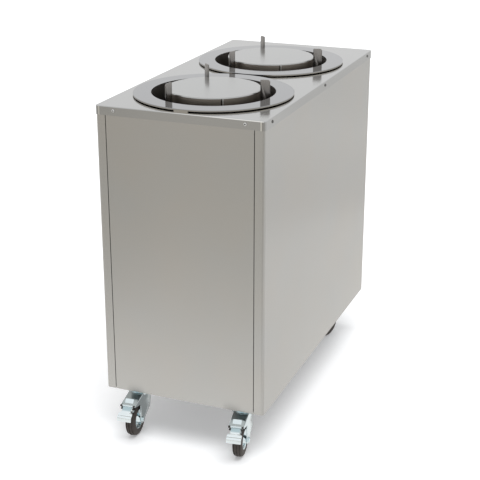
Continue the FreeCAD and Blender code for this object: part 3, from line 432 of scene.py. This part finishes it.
def lid_finish():
    """Sheet brushed along the cart, with a painted highlight along the bend at its front, and near its
    corners a painted highlight beside a darker line.
    """
    finish = steel("lid_steel", (0.492, 0.495, 0.491), 0.12, ALONG_X, streak=0.03, cloud=0.16,
                   marked=True)
    ahead = CENTRE_X - LID_HALF_LENGTH - finish.axis("X")
    out = finish.axis("Y")
    at_bend = ((ahead + BEND_WIDTH) * BEND_EDGE).clamped()
    high = ((finish.axis("Z") - LID_TOP + BEND_WIDTH) * BEND_EDGE).clamped()
    lit_side = ((BEND_SIDE - out) * BEND_SIDE_EDGE).clamped()
    corner = out.size() - LID_HALF_WIDTH
    on_front = (ahead * CORNER_EDGE + 1).clamped() * (1 - high)
    bright = corner.line(CORNER_BRIGHT, CORNER_LINE) * CORNER_SHINE
    dark = corner.line(CORNER_DARK, CORNER_LINE) * CORNER_DARKENING
    # painted highlights at the front bend and near the corners, and the darker line beside them
    finish.paint((at_bend * high * lit_side * BEND_SHINE + bright * on_front, SHINE),
                 (dark * on_front, DARK_LINE_AND_SHADE))
    return finish


# a painted reflection: the outside of the collar's turned-down rim is painted a lighter brown
RIM_REFLECTION_BROWN = (0.52, 0.475, 0.40)
RIM_START = 0.5 * MM
RIM_EDGE = 400
RIM_REFLECTION_SHARE = 0.8


def collar_finish():
    """Bright annealed ring, with a painted reflection in lighter brown down the outside of its
    turned-down rim.
    """
    finish = steel("collar_steel", (0.345, 0.35, 0.362), 0.09, ALONG_Y, streak=0.02, bump=0.006,
                   marked=True)
    # painted reflection down the outside of the rim
    down = COLLAR_TOP - RIM_START - finish.axis("Z")
    finish.paint(((down * RIM_EDGE).clamped() * RIM_REFLECTION_SHARE, RIM_REFLECTION_BROWN))
    return finish


# painted shade in a screw's recess and round its foot, where it meets the lid
SCREW_SHADE_HEIGHT = 0.6 * MM
SCREW_SHADE_EDGE = 3000
SCREW_SEAT = 0.5 * MM
SCREW_SEAT_EDGE = 2000
SIDE_SCREW_DARKENING = 0.65


def lid_screw_finish():
    """A bright screw head with painted shade in its recess and round its foot; the screws on the long
    sides are painted darker all over.
    """
    finish = steel("lid_screw_steel", (0.97, 0.97, 0.96), 0.5, EVEN, marked=True)
    ends = (finish.axis("X") - CENTRE_X).size() - LID_HALF_LENGTH
    sides = finish.axis("Y").size() - LID_HALF_WIDTH
    high = ends.at_least(sides)
    # painted shade in the recess and at the foot of each screw
    recess_shade = (1 - (high - SCREW_SHADE_HEIGHT) * SCREW_SHADE_EDGE).clamped()
    on_side = ((sides + SCREW_SEAT) * SCREW_SEAT_EDGE).clamped()
    finish.paint((recess_shade, DARK_LINE_AND_SHADE), (on_side * SIDE_SCREW_DARKENING, DARK_LINE_AND_SHADE))
    return finish


SEAM_ANGLE = math.radians(212)
SEAM_HALF = 1.5 * MM
SEAM_BRIGHT = 2.4 * SEAM_HALF
SEAM_EDGE = 100
# the skirt's painted reflection of the dark well round it, darker and browner than the disc
SKIRT_REFLECTION_BROWN = (0.44, 0.395, 0.345)
SKIRT_EDGE = 3000
PLATFORM_ROUGH = 0.2
SKIRT_ROUGHER = 0.16


def platform_finish(well):
    """Satin disc and skirt; the skirt bears a painted reflection of the dark well round it, darker and
    browner, and its joint shows as a dark line beside a painted highlight.
    """
    finish = steel(well + "_platform_steel", (0.47, 0.475, 0.473), PLATFORM_ROUGH, ALONG_Y,
                   streak=0.03, marked=True)
    turned = finish.make("Mapping", dict(vector_type="TEXTURE"), i0=finish.places(),
                         i1=(WELLS[well], 0, 0), i2=(0, 0, SEAM_ANGLE))
    out, across, high = (finish.make("SeparateXYZ", output=letter, i0=turned) for letter in "XYZ")
    below = ((PLATFORM_TOP - PLATFORM_BEND - high) * SKIRT_EDGE).clamped()
    here = below * (out * SEAM_EDGE).clamped()
    dark = across.line(0.0, SEAM_HALF) * here
    bright = across.line(SEAM_BRIGHT, SEAM_HALF) * here
    # painted reflection on the skirt, a painted highlight beside its joint, and the joint's dark line
    finish.paint((below, SKIRT_REFLECTION_BROWN), (bright, SHINE), (dark, DARK_LINE_AND_SHADE))
    finish.feed("Roughness", PLATFORM_ROUGH + below * SKIRT_ROUGHER)
    return finish


ZINC_DARK = (0.63, 0.765, 0.805)
ZINC_BRIGHT = (0.92, 0.97, 0.985)
CRYSTAL_SCALE, CRYSTAL_SHARE = 420.0, 0.10
ZINC_CLOUD_SCALE, ZINC_CLOUD_SHARE = 60, 0.25
ZINC_ROUGH, ZINC_UNEVEN = 0.13, 0.12
# a pedal's painted highlight, which brightens all of it, and the painted shade that makes its neck
# darker and bluer
TREAD_SHINE = 0.25
NECK_SHADE_BLUE = (0.47, 0.60, 0.64)
NECK_FOOT = 104.5 * MM
NECK_EDGE = 300


def zinc(name, pedal=False):
    """Bright zinc plate, a little blue, cloudy and finely spangled; a pedal has a painted highlight
    that makes it brighter, and its neck has painted shade that makes it darker and bluer."""
    finish = Finish(name, metallic=1.0)
    crystals = finish.make("TexVoronoi", Vector=finish.places(), Scale=CRYSTAL_SCALE, output="Color")
    grey = finish.make("SeparateColor", i0=crystals)
    clouds = finish.noise(ZINC_CLOUD_SCALE, detail=3)
    tone = ((grey - 0.5) * CRYSTAL_SHARE + (clouds - 0.5) * ZINC_CLOUD_SHARE + 0.5).clamped()
    # a pedal's painted highlight
    if pedal:
        tone = (tone + TREAD_SHINE).clamped()
    colour = finish.blend(tone, ZINC_DARK, ZINC_BRIGHT)
    # the painted shade on a pedal's neck
    if pedal:
        neck = ((finish.axis("Z") - NECK_FOOT) * NECK_EDGE).clamped()
        colour = finish.blend(neck, colour, NECK_SHADE_BLUE)
    finish.feed("Base Color", colour)
    finish.feed("Roughness", (ZINC_ROUGH + (clouds - 0.5) * ZINC_UNEVEN).clamped())
    finish.bump(clouds, 0.05, 0.0005)
    return finish


RUBBER_DARK = (0.062, 0.052, 0.046)
RUBBER_DUSTY = (0.128, 0.112, 0.10)
DUST_SCALE, DUST_CONTRAST, DUST_SHIFT = 90, 1.2, 0.3
RUBBER_GRAIN_SCALE = 900
RUBBER_ROUGH, RUBBER_UNEVEN = 0.62, 0.3


def rubber():
    """Dark brown-grey tyre rubber with dust in patches."""
    finish = Finish("tyre_rubber", specular_ior_level=0.35)
    dust = finish.noise(DUST_SCALE, detail=4, rough=0.6)
    grain = finish.noise(RUBBER_GRAIN_SCALE)
    dusty = (dust * DUST_CONTRAST - DUST_SHIFT).clamped()
    finish.feed("Base Color", finish.blend(dusty, RUBBER_DARK, RUBBER_DUSTY))
    finish.feed("Roughness", (RUBBER_ROUGH + (dust - 0.5) * RUBBER_UNEVEN).clamped())
    finish.bump(grain, 0.25, 0.0003)
    return finish


PLASTIC_DARK = (0.74, 0.72, 0.66)
PLASTIC_LIGHT = (0.84, 0.82, 0.77)
SPECK_SCALE = 200
PLASTIC_ROUGH, PLASTIC_ROUGHER = 0.4, 0.15


def plastic():
    """Off-white plastic of the bushes on the guide rods."""
    finish = Finish("bush_plastic")
    speck = finish.noise(SPECK_SCALE, detail=3)
    finish.feed("Base Color", finish.blend(speck, PLASTIC_DARK, PLASTIC_LIGHT))
    finish.feed("Roughness", PLASTIC_ROUGH + speck * PLASTIC_ROUGHER)
    finish.bump(speck, 0.1, 0.0003)
    return finish


sheet_steel = panel_finish()
lid_steel = lid_finish()
collar_steel = collar_finish()
guide_steel = steel("guide_steel", (0.29, 0.277, 0.264), 0.27, UPRIGHT, streak=0.12)
frame_steel = steel("frame_steel", (0.42, 0.41, 0.4), 0.34, ALONG_X)
tube_steel = steel("tube_steel", (0.33, 0.31, 0.29), 0.4, UPRIGHT)
rod_steel = steel("screw_steel", (0.7, 0.7, 0.7), 0.18, EVEN)
lid_screw_steel = lid_screw_finish()
spring_steel = steel("spring_steel", (0.5, 0.49, 0.48), 0.25, EVEN, streak=0.1)
# near-black wire of the pedals' brake springs and caps: painted shade where the hood's corners are open
dark_wire = steel("dark_wire", (0.07, 0.065, 0.06), 0.35, EVEN, streak=0.2)
zinc_plate = zinc("zinc_plate")
pedal_zinc = zinc("pedal_zinc", pedal=True)
tyre_rubber = rubber()
bush_plastic = plastic()

FINISHES = {
    "lid": lid_steel, "left_panel": sheet_steel, "right_panel": sheet_steel,
    "front_panel": sheet_steel, "rear_panel": sheet_steel, "base_pan": frame_steel,
    "base_channels": frame_steel, "cross_rail": frame_steel, "caster_heads": zinc_plate,
    "caster_bolts": zinc_plate, "caster_nuts": zinc_plate,
}
for well in WELLS:
    FINISHES[well + "_collar"] = collar_steel
    FINISHES[well + "_tube"] = tube_steel
    FINISHES[well + "_anchor_ring"] = frame_steel
    FINISHES[well + "_base_plate"] = frame_steel
    FINISHES[well + "_guide_rods"] = rod_steel
    FINISHES[well + "_guide_hinges"] = rod_steel
    FINISHES[well + "_platform"] = platform_finish(well)
    FINISHES[well + "_posts"] = frame_steel
    FINISHES[well + "_spider"] = frame_steel
    FINISHES[well + "_bushes"] = bush_plastic

for name, finish in FINISHES.items():
    dress(nodes[name], finish)

# ---- shaping helpers ----

MERGE_GAP = 0.01 * MM


def only(piece):
    """Select one piece and nothing else."""
    bpy.ops.object.select_all(action="DESELECT")
    piece.select_set(True)
    bpy.context.view_layer.objects.active = piece


def edit(piece, kind):
    """Into edit mode on one piece with nothing selected."""
    only(piece)
    bpy.ops.object.mode_set(mode="EDIT")
    bpy.ops.mesh.select_mode(type=kind)
    bpy.ops.mesh.select_all(action="DESELECT")


def done():
    """Back from edit mode."""
    bpy.ops.object.mode_set(mode="OBJECT")


def pick(piece, kind, test):
    """Select the faces or edges whose place and normal, or two ends, pass a test."""
    edit(piece, kind)
    done()
    mesh = piece.data
    if kind == "FACE":
        for face in mesh.polygons:
            face.select = test(face.center, face.normal)
    else:
        for edge in mesh.edges:
            one, other = (mesh.vertices[corner].co for corner in edge.vertices)
            edge.select = test(one, other)
    bpy.ops.object.mode_set(mode="EDIT")
    bpy.ops.mesh.select_mode(type=kind)


def modify(piece, kind, **settings):
    """Add one modifier and apply it."""
    only(piece)
    item = piece.modifiers.new(kind.lower(), kind)
    for word, value in settings.items():
        setattr(item, word, value)
    bpy.ops.object.modifier_apply(modifier=item.name)


def ease(piece, width, segments=2, angle=35):
    """Round every edge that turns more than an angle."""
    modify(piece, "BEVEL", width=width, segments=segments, limit_method="ANGLE",
           angle_limit=math.radians(angle), harden_normals=False, use_clamp_overlap=True)


def smooth(piece, angle=32):
    """Shade a piece smooth except where it turns more than an angle."""
    only(piece)
    bpy.ops.object.shade_smooth_by_angle(angle=math.radians(angle))


def settle(piece):
    """Move a piece's place into its mesh."""
    only(piece)
    bpy.ops.object.transform_apply(location=True, rotation=True, scale=True)


def merge(piece, recalculate=True):
    """Join the points that lie on each other, and turn the faces outward."""
    edit(piece, "VERT")
    bpy.ops.mesh.select_all(action="SELECT")
    bpy.ops.mesh.remove_doubles(threshold=MERGE_GAP)
    if recalculate:
        bpy.ops.mesh.normals_make_consistent(inside=False)
    done()


def joined(name, pieces):
    """Make one piece of several."""
    bpy.ops.object.select_all(action="DESELECT")
    for piece in pieces:
        piece.select_set(True)
    bpy.context.view_layer.objects.active = pieces[0]
    bpy.ops.object.join()
    pieces[0].name = name
    return pieces[0]


def copied(piece, name, place):
    """A copy with its own mesh, moved by a matrix in the mesh."""
    twin = bpy.data.objects.new(name, piece.data.copy())
    scene.collection.objects.link(twin)
    twin.data.transform(place)
    return twin


def wire(name, points):
    """A chain of edges through points, by extruding from the first one."""
    bpy.ops.object.select_all(action="DESELECT")
    bpy.ops.mesh.primitive_plane_add(size=MM, location=points[0])
    piece = bpy.context.object
    piece.name = name
    settle(piece)
    bpy.ops.object.mode_set(mode="EDIT")
    bpy.ops.mesh.select_mode(type="VERT")
    bpy.ops.mesh.select_all(action="SELECT")
    bpy.ops.mesh.merge(type="CENTER")
    for last, point in zip(points, points[1:]):
        step = Vector(point) - Vector(last)
        bpy.ops.mesh.extrude_vertices_move(TRANSFORM_OT_translate={"value": step})
    done()
    return piece


def spun(name, profile, steps, axis, centre=(0, 0, 0)):
    """A chain of points turned right round an axis into a closed piece."""
    piece = wire(name, profile)
    edit(piece, "VERT")
    bpy.ops.mesh.select_all(action="SELECT")
    bpy.ops.mesh.spin(steps=steps, angle=2 * math.pi, center=centre, axis=axis)
    done()
    merge(piece)
    return piece


def block(name, low, high):
    """A box between two corners, ready for shaping."""
    bpy.ops.object.select_all(action="DESELECT")
    low, high = Vector(low), Vector(high)
    bpy.ops.mesh.primitive_cube_add(size=1, location=(low + high) / 2)
    piece = bpy.context.object
    piece.scale = high - low
    piece.name = name
    settle(piece)
    return piece


def drum(name, radius, low, high, x, z, sides):
    """A round bar that lies across from left to right, ready for shaping."""
    bpy.ops.object.select_all(action="DESELECT")
    bpy.ops.mesh.primitive_cylinder_add(vertices=sides, radius=radius, depth=high - low,
                                        location=(x, (low + high) / 2, z),
                                        rotation=(math.pi / 2, 0, 0))
    piece = bpy.context.object
    piece.name = name
    settle(piece)
    return piece


FLAT_ANGLE = math.radians(0.4)


def from_cad(name, node):
    """A copy of a CAD node's mesh, its triangles merged back into flat faces."""
    piece = bpy.data.objects.new(name, nodes[node].data.copy())
    scene.collection.objects.link(piece)
    merge(piece, recalculate=False)
    edit(piece, "VERT")
    bpy.ops.mesh.select_all(action="SELECT")
    bpy.ops.mesh.dissolve_limited(angle_limit=FLAT_ANGLE)
    done()
    return piece


def fit_out(piece, finish, body, slot, *replaced):
    """Give a finished piece its material, its body and the nodes that it replaces; its slot is not
    used.
    """
    dress(piece, finish)
    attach(piece, body)
    if replaced:
        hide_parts(*replaced)


# ---- casters ----

CASTER_Y = 162 * MM
FRONT_X = CENTRE_X - 435 * MM
REAR_X = CENTRE_X + 409 * MM
# where each caster stands, how far it is turned, and whether it has a brake
CASTERS = {
    "front_left": (FRONT_X, -CASTER_Y, 8.3, True),
    "front_right": (FRONT_X, CASTER_Y, 4.5, True),
    "rear_left": (REAR_X, -CASTER_Y, -20, False),
    "rear_right": (REAR_X, CASTER_Y, 12, False),
}
TRAIL = 42 * MM
WHEEL_RADIUS = 50 * MM
FORK_OUTER = 22.5 * MM
CROWN_TOP = 128 * MM
HOOD_START = 25 * MM
HOOD_REACH = 97 * MM
HOOD_FALL = 10 * MM
HOOD_SLOPE = HOOD_FALL / (HOOD_REACH - HOOD_START)
# how wide edges are rounded
FINE_BEND = 0.5 * MM
SOFT_BEND = 0.6 * MM
BAR_BEND = 0.7 * MM
CAP_BEND = 0.8 * MM


def at_caster(caster):
    """From a caster's own frame to the cart's."""
    x, y, yaw, _ = CASTERS[caster]
    return Matrix.Translation((x, y, 0)) @ Matrix.Rotation(math.radians(yaw), 4, "Z")


def hood_height(x):
    """Top of the hood at a place behind the swivel axis."""
    return CROWN_TOP + (x + HOOD_START) * HOOD_SLOPE


NEAR_SIDE, NEAR_START, NEAR_TOP = 0.02 * MM, 0.1 * MM, 0.05 * MM
HOOD_FOLD = 3.4 * MM
TONGUE_FOOT = -86 * MM
TONGUE_HALF = 12.5 * MM
TONGUE_WALL = 1.8 * MM
TONGUE_SINK = 1.2 * MM
TONGUE_RISE = 10 * MM
TONGUE_RUN = 9 * MM
TONGUE_CORNER = 2.2 * MM
CURL_RADIUS = 1.9 * MM
CURL_DROP = 1.1 * MM
CURL_INSET = 2 * MM
BEAD_BACK, BEAD_FRONT = -53.4 * MM, -51.2 * MM
BEAD_LOW, BEAD_HIGH = 62 * MM, 98 * MM
BEAD_HALF = 0.7 * MM


def on_hood_edge(*ends):
    """Whether an edge is one of the two long folds of the hood."""
    return all(abs(abs(end.y) - FORK_OUTER) < NEAR_SIDE and end.x < -HOOD_START + NEAR_START
               and abs(end.z - hood_height(end.x)) < NEAR_TOP for end in ends)


def fork_model(caster):
    """The pressed fork in its own frame: the solid's shape with the folds of a pressing."""
    shell = from_cad(caster + "_fork_model", caster + "_fork")
    shell.data.transform(at_caster(caster).inverted())
    pick(shell, "EDGE", on_hood_edge)
    bpy.ops.mesh.bevel(offset=HOOD_FOLD, offset_type="OFFSET", segments=4, profile=0.5)
    done()
    ease(shell, SOFT_BEND)
    parts = [shell]
    # the tongue that is lanced out of the hood and stands up, leaning back
    if caster.startswith("front"):
        low = hood_height(TONGUE_FOOT)
        tongue = block("tongue", (TONGUE_FOOT, -TONGUE_HALF, low - TONGUE_SINK),
                       (TONGUE_FOOT + TONGUE_WALL, TONGUE_HALF, low + TONGUE_RISE))
        pick(tongue, "FACE", lambda place, normal: normal.z > 0.9)
        bpy.ops.transform.translate(value=(TONGUE_RUN, 0, 0))
        done()
        pick(tongue, "EDGE", lambda one, other: min(one.z, other.z) > low and abs(one.y - other.y) < MM)
        bpy.ops.mesh.bevel(offset=TONGUE_CORNER, segments=4)
        done()
        ease(tongue, FINE_BEND)
        parts.append(tongue)
    # the curled end of the hood
    curl = drum("curl", CURL_RADIUS, -FORK_OUTER + CURL_INSET, FORK_OUTER - CURL_INSET,
                -HOOD_REACH + CURL_RADIUS, hood_height(-HOOD_REACH) - CURL_DROP, sides=20)
    ease(curl, FINE_BEND)
    parts.append(curl)
    # the bead pressed along each side's upright rear edge
    for side in (-1, 1):
        bead = block("bead", (BEAD_BACK, side * FORK_OUTER - BEAD_HALF, BEAD_LOW),
                     (BEAD_FRONT, side * FORK_OUTER + BEAD_HALF, BEAD_HIGH))
        ease(bead, SOFT_BEND, segments=3)
        parts.append(bead)
    whole = joined(caster + "_fork_model", parts)
    smooth(whole)
    return whole


NECK_HALF = 13 * MM
NECK_CUTS = (-0.6, -0.25, 0.25, 0.6)
# the pedal's upper face from its pivot out to its tip, with half its width at each place
PEDAL_LINE = (
    (-74, 115.2, 13), (-80, 115.2, 13), (-92, 115.0, 13), (-97.6, 114.0, 13), (-103.4, 109.4, 13),
    (-107.4, 105.2, 13.4), (-109.2, 103.8, 14.6), (-110.6, 102.9, 17.6), (-112.2, 102.2, 19.8),
    (-114.0, 101.2, 20.8), (-116.0, 100.0, 21), (-117.6, 99.0, 21), (-118.3, 97.7, 21),
    (-120.1, 96.7, 21), (-121.0, 97.0, 21), (-123.6, 95.3, 21), (-124.8, 94.2, 21),
    (-125.5, 92.6, 21), (-126.2, 88.8, 21), (-126.8, 83.6, 20.8), (-127.1, 81.4, 20.2),
)
PEDAL_WALL = 2.4 * MM
STRIP_START = 1 * MM
PIVOT_BACK = 74 * MM
PIVOT_HEIGHT = 112 * MM
PIVOT_SLEEVE = 5 * MM
SHOE_TOP = 107.2 * MM
SHOE_BACK = -89 * MM


def shoe_model():
    """The solid pedal's brake shoe: what is left below its neck and in front of its tread."""
    shoe = from_cad("shoe", "front_right_pedal")
    shoe.data.transform(at_caster("front_right").inverted())
    edit(shoe, "FACE")
    for place, outward in (((0, 0, SHOE_TOP), (0, 0, 1)), ((SHOE_BACK, 0, 0), (-1, 0, 0))):
        bpy.ops.mesh.select_all(action="SELECT")
        bpy.ops.mesh.bisect(plane_co=place, plane_no=outward, use_fill=True, clear_outer=True)
    done()
    return shoe


def pedal_model():
    """The pedal in its caster's frame: a strip drawn out over its line, then given its wall."""
    bpy.ops.object.select_all(action="DESELECT")
    x, z, wide = (value * MM for value in PEDAL_LINE[0])
    bpy.ops.mesh.primitive_plane_add(size=1, location=(x + STRIP_START / 2, 0, z))
    strip = bpy.context.object
    strip.scale = (STRIP_START, 2 * wide, 1)
    strip.name = "pedal_model"
    settle(strip)
    pick(strip, "EDGE", lambda one, other: one.x < x and other.x < x)
    for line in PEDAL_LINE[1:]:
        new_x, new_z, new_wide = (value * MM for value in line)
        bpy.ops.mesh.extrude_region_move(TRANSFORM_OT_translate={"value": (new_x - x, 0, new_z - z)})
        bpy.ops.transform.resize(value=(1, new_wide / wide, 1), center_override=(new_x, 0, new_z))
        x, z, wide = new_x, new_z, new_wide
    done()
    # lengthwise cuts, so that no face is as wide as the strip
    for cut in NECK_CUTS:
        edit(strip, "FACE")
        bpy.ops.mesh.select_all(action="SELECT")
        bpy.ops.mesh.bisect(plane_co=(0, cut * NECK_HALF, 0), plane_no=(0, 1, 0))
        done()
    merge(strip)
    if sum(face.normal.z for face in strip.data.polygons) < 0:
        strip.data.flip_normals()
    modify(strip, "SOLIDIFY", thickness=PEDAL_WALL, offset=-1.0)
    ease(strip, BAR_BEND, segments=3, angle=50)
    sleeve = drum("sleeve", PIVOT_SLEEVE, -NECK_HALF, NECK_HALF, -PIVOT_BACK, PIVOT_HEIGHT, sides=36)
    ease(sleeve, SOFT_BEND)
    whole = joined("pedal_model", [strip, sleeve, shoe_model()])
    smooth(whole)
    return whole


TYRE_STEPS = 96
RIM_STEPS = 72
# half of the tyre's section: across the tread, and out from the axle
TYRE_HALF = (
    (12.6, 28.4), (13.4, 29.6), (13.7, 33.0), (13.9, 37.0), (13.8, 40.6), (13.2, 43.6), (12.1, 46.0),
    (10.8, 47.6), (9.6, 48.4), (9.1, 47.8), (8.8, 45.8), (6.8, 46.2), (6.5, 48.9), (6.0, 49.4),
    (2.3, 50.0), (1.8, 49.5), (1.6, 46.8),
)
# half of the rim's section, from its seat in to the hub's bore
RIM_HALF = (
    (9.6, 28.6), (11.6, 29.3), (12.6, 29.2), (12.9, 28.3), (12.3, 27.4), (10.6, 26.4), (7.4, 25.2),
    (4.2, 23.6), (3.1, 21.2), (3.0, 17.6), (3.6, 15.6), (5.6, 14.2), (9.0, 12.9), (15.4, 10.6),
    (18.8, 8.8), (19.5, 8.0), (19.5, 4.4), (19.3, 4.1),
)


def wheel_part(name, half, steps):
    """A part of the wheel in its caster's frame: a section and its mirror turned round the axle."""
    right = [(-TRAIL, y * MM, WHEEL_RADIUS + r * MM) for y, r in half]
    left = [(-TRAIL, -y * MM, WHEEL_RADIUS + r * MM) for y, r in half]
    section = right + left[::-1]
    section.append(section[0])
    piece = spun(name, section, steps, (0, 1, 0), (-TRAIL, 0, WHEEL_RADIUS))
    smooth(piece, angle=40)
    return piece


BRAKE_WIRE = 1 * MM
BRAKE_COIL_RADIUS = 3.2 * MM
BRAKE_COIL_TURNS = 2.5
BRAKE_COIL_LENGTH = 5.2 * MM
BRAKE_WIRE_SIDES = 10
BRAKE_COIL_STEPS = 60
BRAKE_COIL_Y = 16.8 * MM
BRAKE_COIL_X = -95.5 * MM
BRAKE_COIL_Z = 108.6 * MM
BRAKE_LEG = 12 * MM
CAP_RADIUS = 3 * MM
CAP_OUT = 0.6 * MM
CAP_X = -95.4 * MM
CAP_START = 15.5 * MM
CAP_END = 21.8 * MM


def brake_spring_model():
    """At each side of a pedal's neck a coil of dark wire with its leg, and a cap on the hood's curl;
    all of it near-black, a dark piece standing in for the shade in the openings at the hood's corners.
    """
    parts = []
    for side in (-1, 1):
        bpy.ops.object.select_all(action="DESELECT")
        bpy.ops.mesh.primitive_circle_add(vertices=BRAKE_WIRE_SIDES, radius=BRAKE_WIRE,
                                          location=(BRAKE_COIL_RADIUS, 0, 0))
        coil = bpy.context.object
        settle(coil)
        modify(coil, "SCREW", angle=2 * math.pi * BRAKE_COIL_TURNS, screw_offset=BRAKE_COIL_LENGTH,
               steps=BRAKE_COIL_STEPS, render_steps=BRAKE_COIL_STEPS, axis="Y", use_smooth_shade=True)
        start = side * BRAKE_COIL_Y - BRAKE_COIL_LENGTH / 2
        coil.data.transform(Matrix.Translation((BRAKE_COIL_X, start, BRAKE_COIL_Z)))
        low = BRAKE_COIL_Z + BRAKE_COIL_RADIUS - BRAKE_WIRE
        leg = block("leg", (BRAKE_COIL_X, side * BRAKE_COIL_Y - BRAKE_WIRE, low),
                    (BRAKE_COIL_X + BRAKE_LEG, side * BRAKE_COIL_Y + BRAKE_WIRE, low + 2 * BRAKE_WIRE))
        ease(leg, SOFT_BEND, segments=3)
        low, high = sorted((side * CAP_START, side * CAP_END))
        cap = drum("cap", CAP_RADIUS, low, high, CAP_X, hood_height(CAP_X) - CAP_RADIUS + CAP_OUT,
                   sides=24)
        ease(cap, CAP_BEND)
        parts += [coil, leg, cap]
    whole = joined("brake_spring_model", parts)
    merge(whole)
    smooth(whole, angle=50)
    return whole


CASTER_MODELS = {
    "tyre": wheel_part("tyre_model", TYRE_HALF, TYRE_STEPS),
    "rim": wheel_part("rim_model", RIM_HALF, RIM_STEPS),
    "pedal": pedal_model(),
}
# which body each of them rides on, its finish and its slot
CASTER_PIECES = {
    "tyre": ("wheel", tyre_rubber, "tyre_rubber"),
    "rim": ("wheel", zinc_plate, "zinc_plate"),
    "pedal": ("brake", pedal_zinc, "zinc_plate"),
}
SPRING_OF_BRAKE = brake_spring_model()
FORK_MODELS = {True: fork_model("front_right"), False: fork_model("rear_right")}
for caster, (_, _, _, braked) in CASTERS.items():
    place = at_caster(caster)
    for kind, (body, finish, slot) in CASTER_PIECES.items():
        if kind == "pedal" and not braked:
            continue
        piece = copied(CASTER_MODELS[kind], "%s_%s_shaped" % (caster, kind), place)
        fit_out(piece, finish, "%s_%s" % (caster, body), slot, "%s_%s" % (caster, kind))
    piece = copied(FORK_MODELS[braked], caster + "_fork_shaped", place)
    fit_out(piece, zinc_plate, caster + "_swivel", "zinc_plate", caster + "_fork")
    if braked:
        # the near-black brake springs and caps, painted shade at the hood's open corners
        spring = copied(SPRING_OF_BRAKE, caster + "_brake_spring", place)
        fit_out(spring, dark_wire, caster + "_swivel", "spring_steel")
    bolt = from_cad(caster + "_axle_shaped", caster + "_axle")
    ease(bolt, BAR_BEND)
    smooth(bolt)
    fit_out(bolt, zinc_plate, caster + "_swivel", "zinc_plate", caster + "_axle")
for model in (*CASTER_MODELS.values(), *FORK_MODELS.values(), SPRING_OF_BRAKE):
    bpy.data.objects.remove(model)

# ---- lid screws ----

SCREW_HEIGHT = 961.2 * MM
END_SCREW_Y = 186 * MM
SIDE_SCREWS_X = (-439 * MM, 0, 439 * MM)
SCREW_STEPS = 32
# a screw's section from the middle of its head round to its tip: out from its axis, and along it
SCREW_LINE = (
    (0.0, 0.2), (1.8, 0.3), (1.9, 1.95), (2.2, 2.0), (3.5, 1.85), (3.95, 1.5), (4.15, 1.0),
    (4.2, 0.3), (4.18, 0.0), (1.9, 0.0), (1.9, -8.2), (1.2, -9.0), (0.0, -9.0),
)


def screw_model():
    """A pan-head screw that looks up, its head seated at the origin, with a deep recess."""
    section = [(r * MM, 0, z * MM) for r, z in SCREW_LINE]
    screw = spun("screw_model", section, SCREW_STEPS, (0, 0, 1))
    smooth(screw, angle=50)
    return screw


def screws():
    """All the lid's screws in one piece: two on each end and three on each side."""
    model = screw_model()
    spots = []
    for end in (-1, 1):
        for side in (-1, 1):
            spots.append(((CENTRE_X + end * LID_HALF_LENGTH, side * END_SCREW_Y), (end, 0)))
    for side in (-1, 1):
        for along in SIDE_SCREWS_X:
            spots.append(((CENTRE_X + along, side * LID_HALF_WIDTH), (0, side)))
    copies = []
    for (x, y), (out_x, out_y) in spots:
        turn = Vector((out_x, out_y, 0)).to_track_quat("Z", "Y").to_matrix().to_4x4()
        place = Matrix.Translation((x, y, SCREW_HEIGHT)) @ turn
        copies.append(copied(model, "screw", place))
    bpy.data.objects.remove(model)
    whole = joined("lid_screws_shaped", copies)
    fit_out(whole, lid_screw_steel, "cabinet", "screw_steel", "lid_screws")


screws()

# ---- lifting springs ----

ROD_CIRCLE = 187 * MM
SPRING_BESIDE = 22 * MM
SPRING_LOW = 746.1 * MM
SPRING_HIGH = 952 * MM
SPRING_HOOK = 8 * MM
WIRE_RADIUS = 1 * MM
WIRE_SIDES = 6
COIL_RADIUS = 7 * MM
COIL_TURNS = 78
COIL_STEPS = 14
HOOK_STEPS = 20
HOOK_SPREAD = 0.4 * MM
SPRING_ANGLES = (90, 210, 330)


def spring_model():
    """A close-wound tension spring on the upright axis, with an upright loop at each end."""
    bpy.ops.object.select_all(action="DESELECT")
    low = SPRING_LOW + SPRING_HOOK
    length = SPRING_HIGH - SPRING_LOW - 2 * SPRING_HOOK
    bpy.ops.mesh.primitive_circle_add(vertices=WIRE_SIDES, radius=WIRE_RADIUS,
                                      location=(COIL_RADIUS, 0, low), rotation=(math.pi / 2, 0, 0))
    coil = bpy.context.object
    settle(coil)
    steps = COIL_STEPS * COIL_TURNS
    modify(coil, "SCREW", angle=2 * math.pi * COIL_TURNS, screw_offset=length, steps=steps,
           render_steps=steps, axis="Z", use_smooth_shade=True)
    parts = [coil]
    loop = SPRING_HOOK / 2
    for height in (SPRING_LOW + loop, SPRING_HIGH - loop):
        bpy.ops.mesh.primitive_torus_add(location=(0, 0, height), rotation=(math.pi / 2, 0, 0),
                                         major_radius=loop - WIRE_RADIUS + HOOK_SPREAD,
                                         minor_radius=WIRE_RADIUS, major_segments=HOOK_STEPS,
                                         minor_segments=WIRE_SIDES)
        hook = bpy.context.object
        settle(hook)
        parts.append(hook)
    whole = joined("spring_model", parts)
    merge(whole)
    smooth(whole, angle=60)
    return whole


def springs():
    """The three springs of each well, which stretch between the cabinet and the carriage."""
    model = spring_model()
    for well, x in WELLS.items():
        copies = []
        for angle in SPRING_ANGLES:
            turn = Matrix.Rotation(math.radians(angle), 4, "Z")
            beside = Matrix.Translation((ROD_CIRCLE, SPRING_BESIDE, 0))
            copies.append(copied(model, "spring", Matrix.Translation((x, 0, 0)) @ turn @ beside))
        whole = joined(well + "_springs_shaped", copies)
        dress(whole, spring_steel)
        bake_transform(whole)
        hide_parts(well + "_springs")
    bpy.data.objects.remove(model)


springs()

# ---- plate guides ----

for well in WELLS:
    for number in (1, 2, 3):
        node = "%s_guide_%d" % (well, number)
        bar = from_cad(node + "_shaped", node)
        ease(bar, BAR_BEND)
        smooth(bar)
        fit_out(bar, guide_steel, "%s_plate_guide_%d" % (well, number), "guide_steel", node)
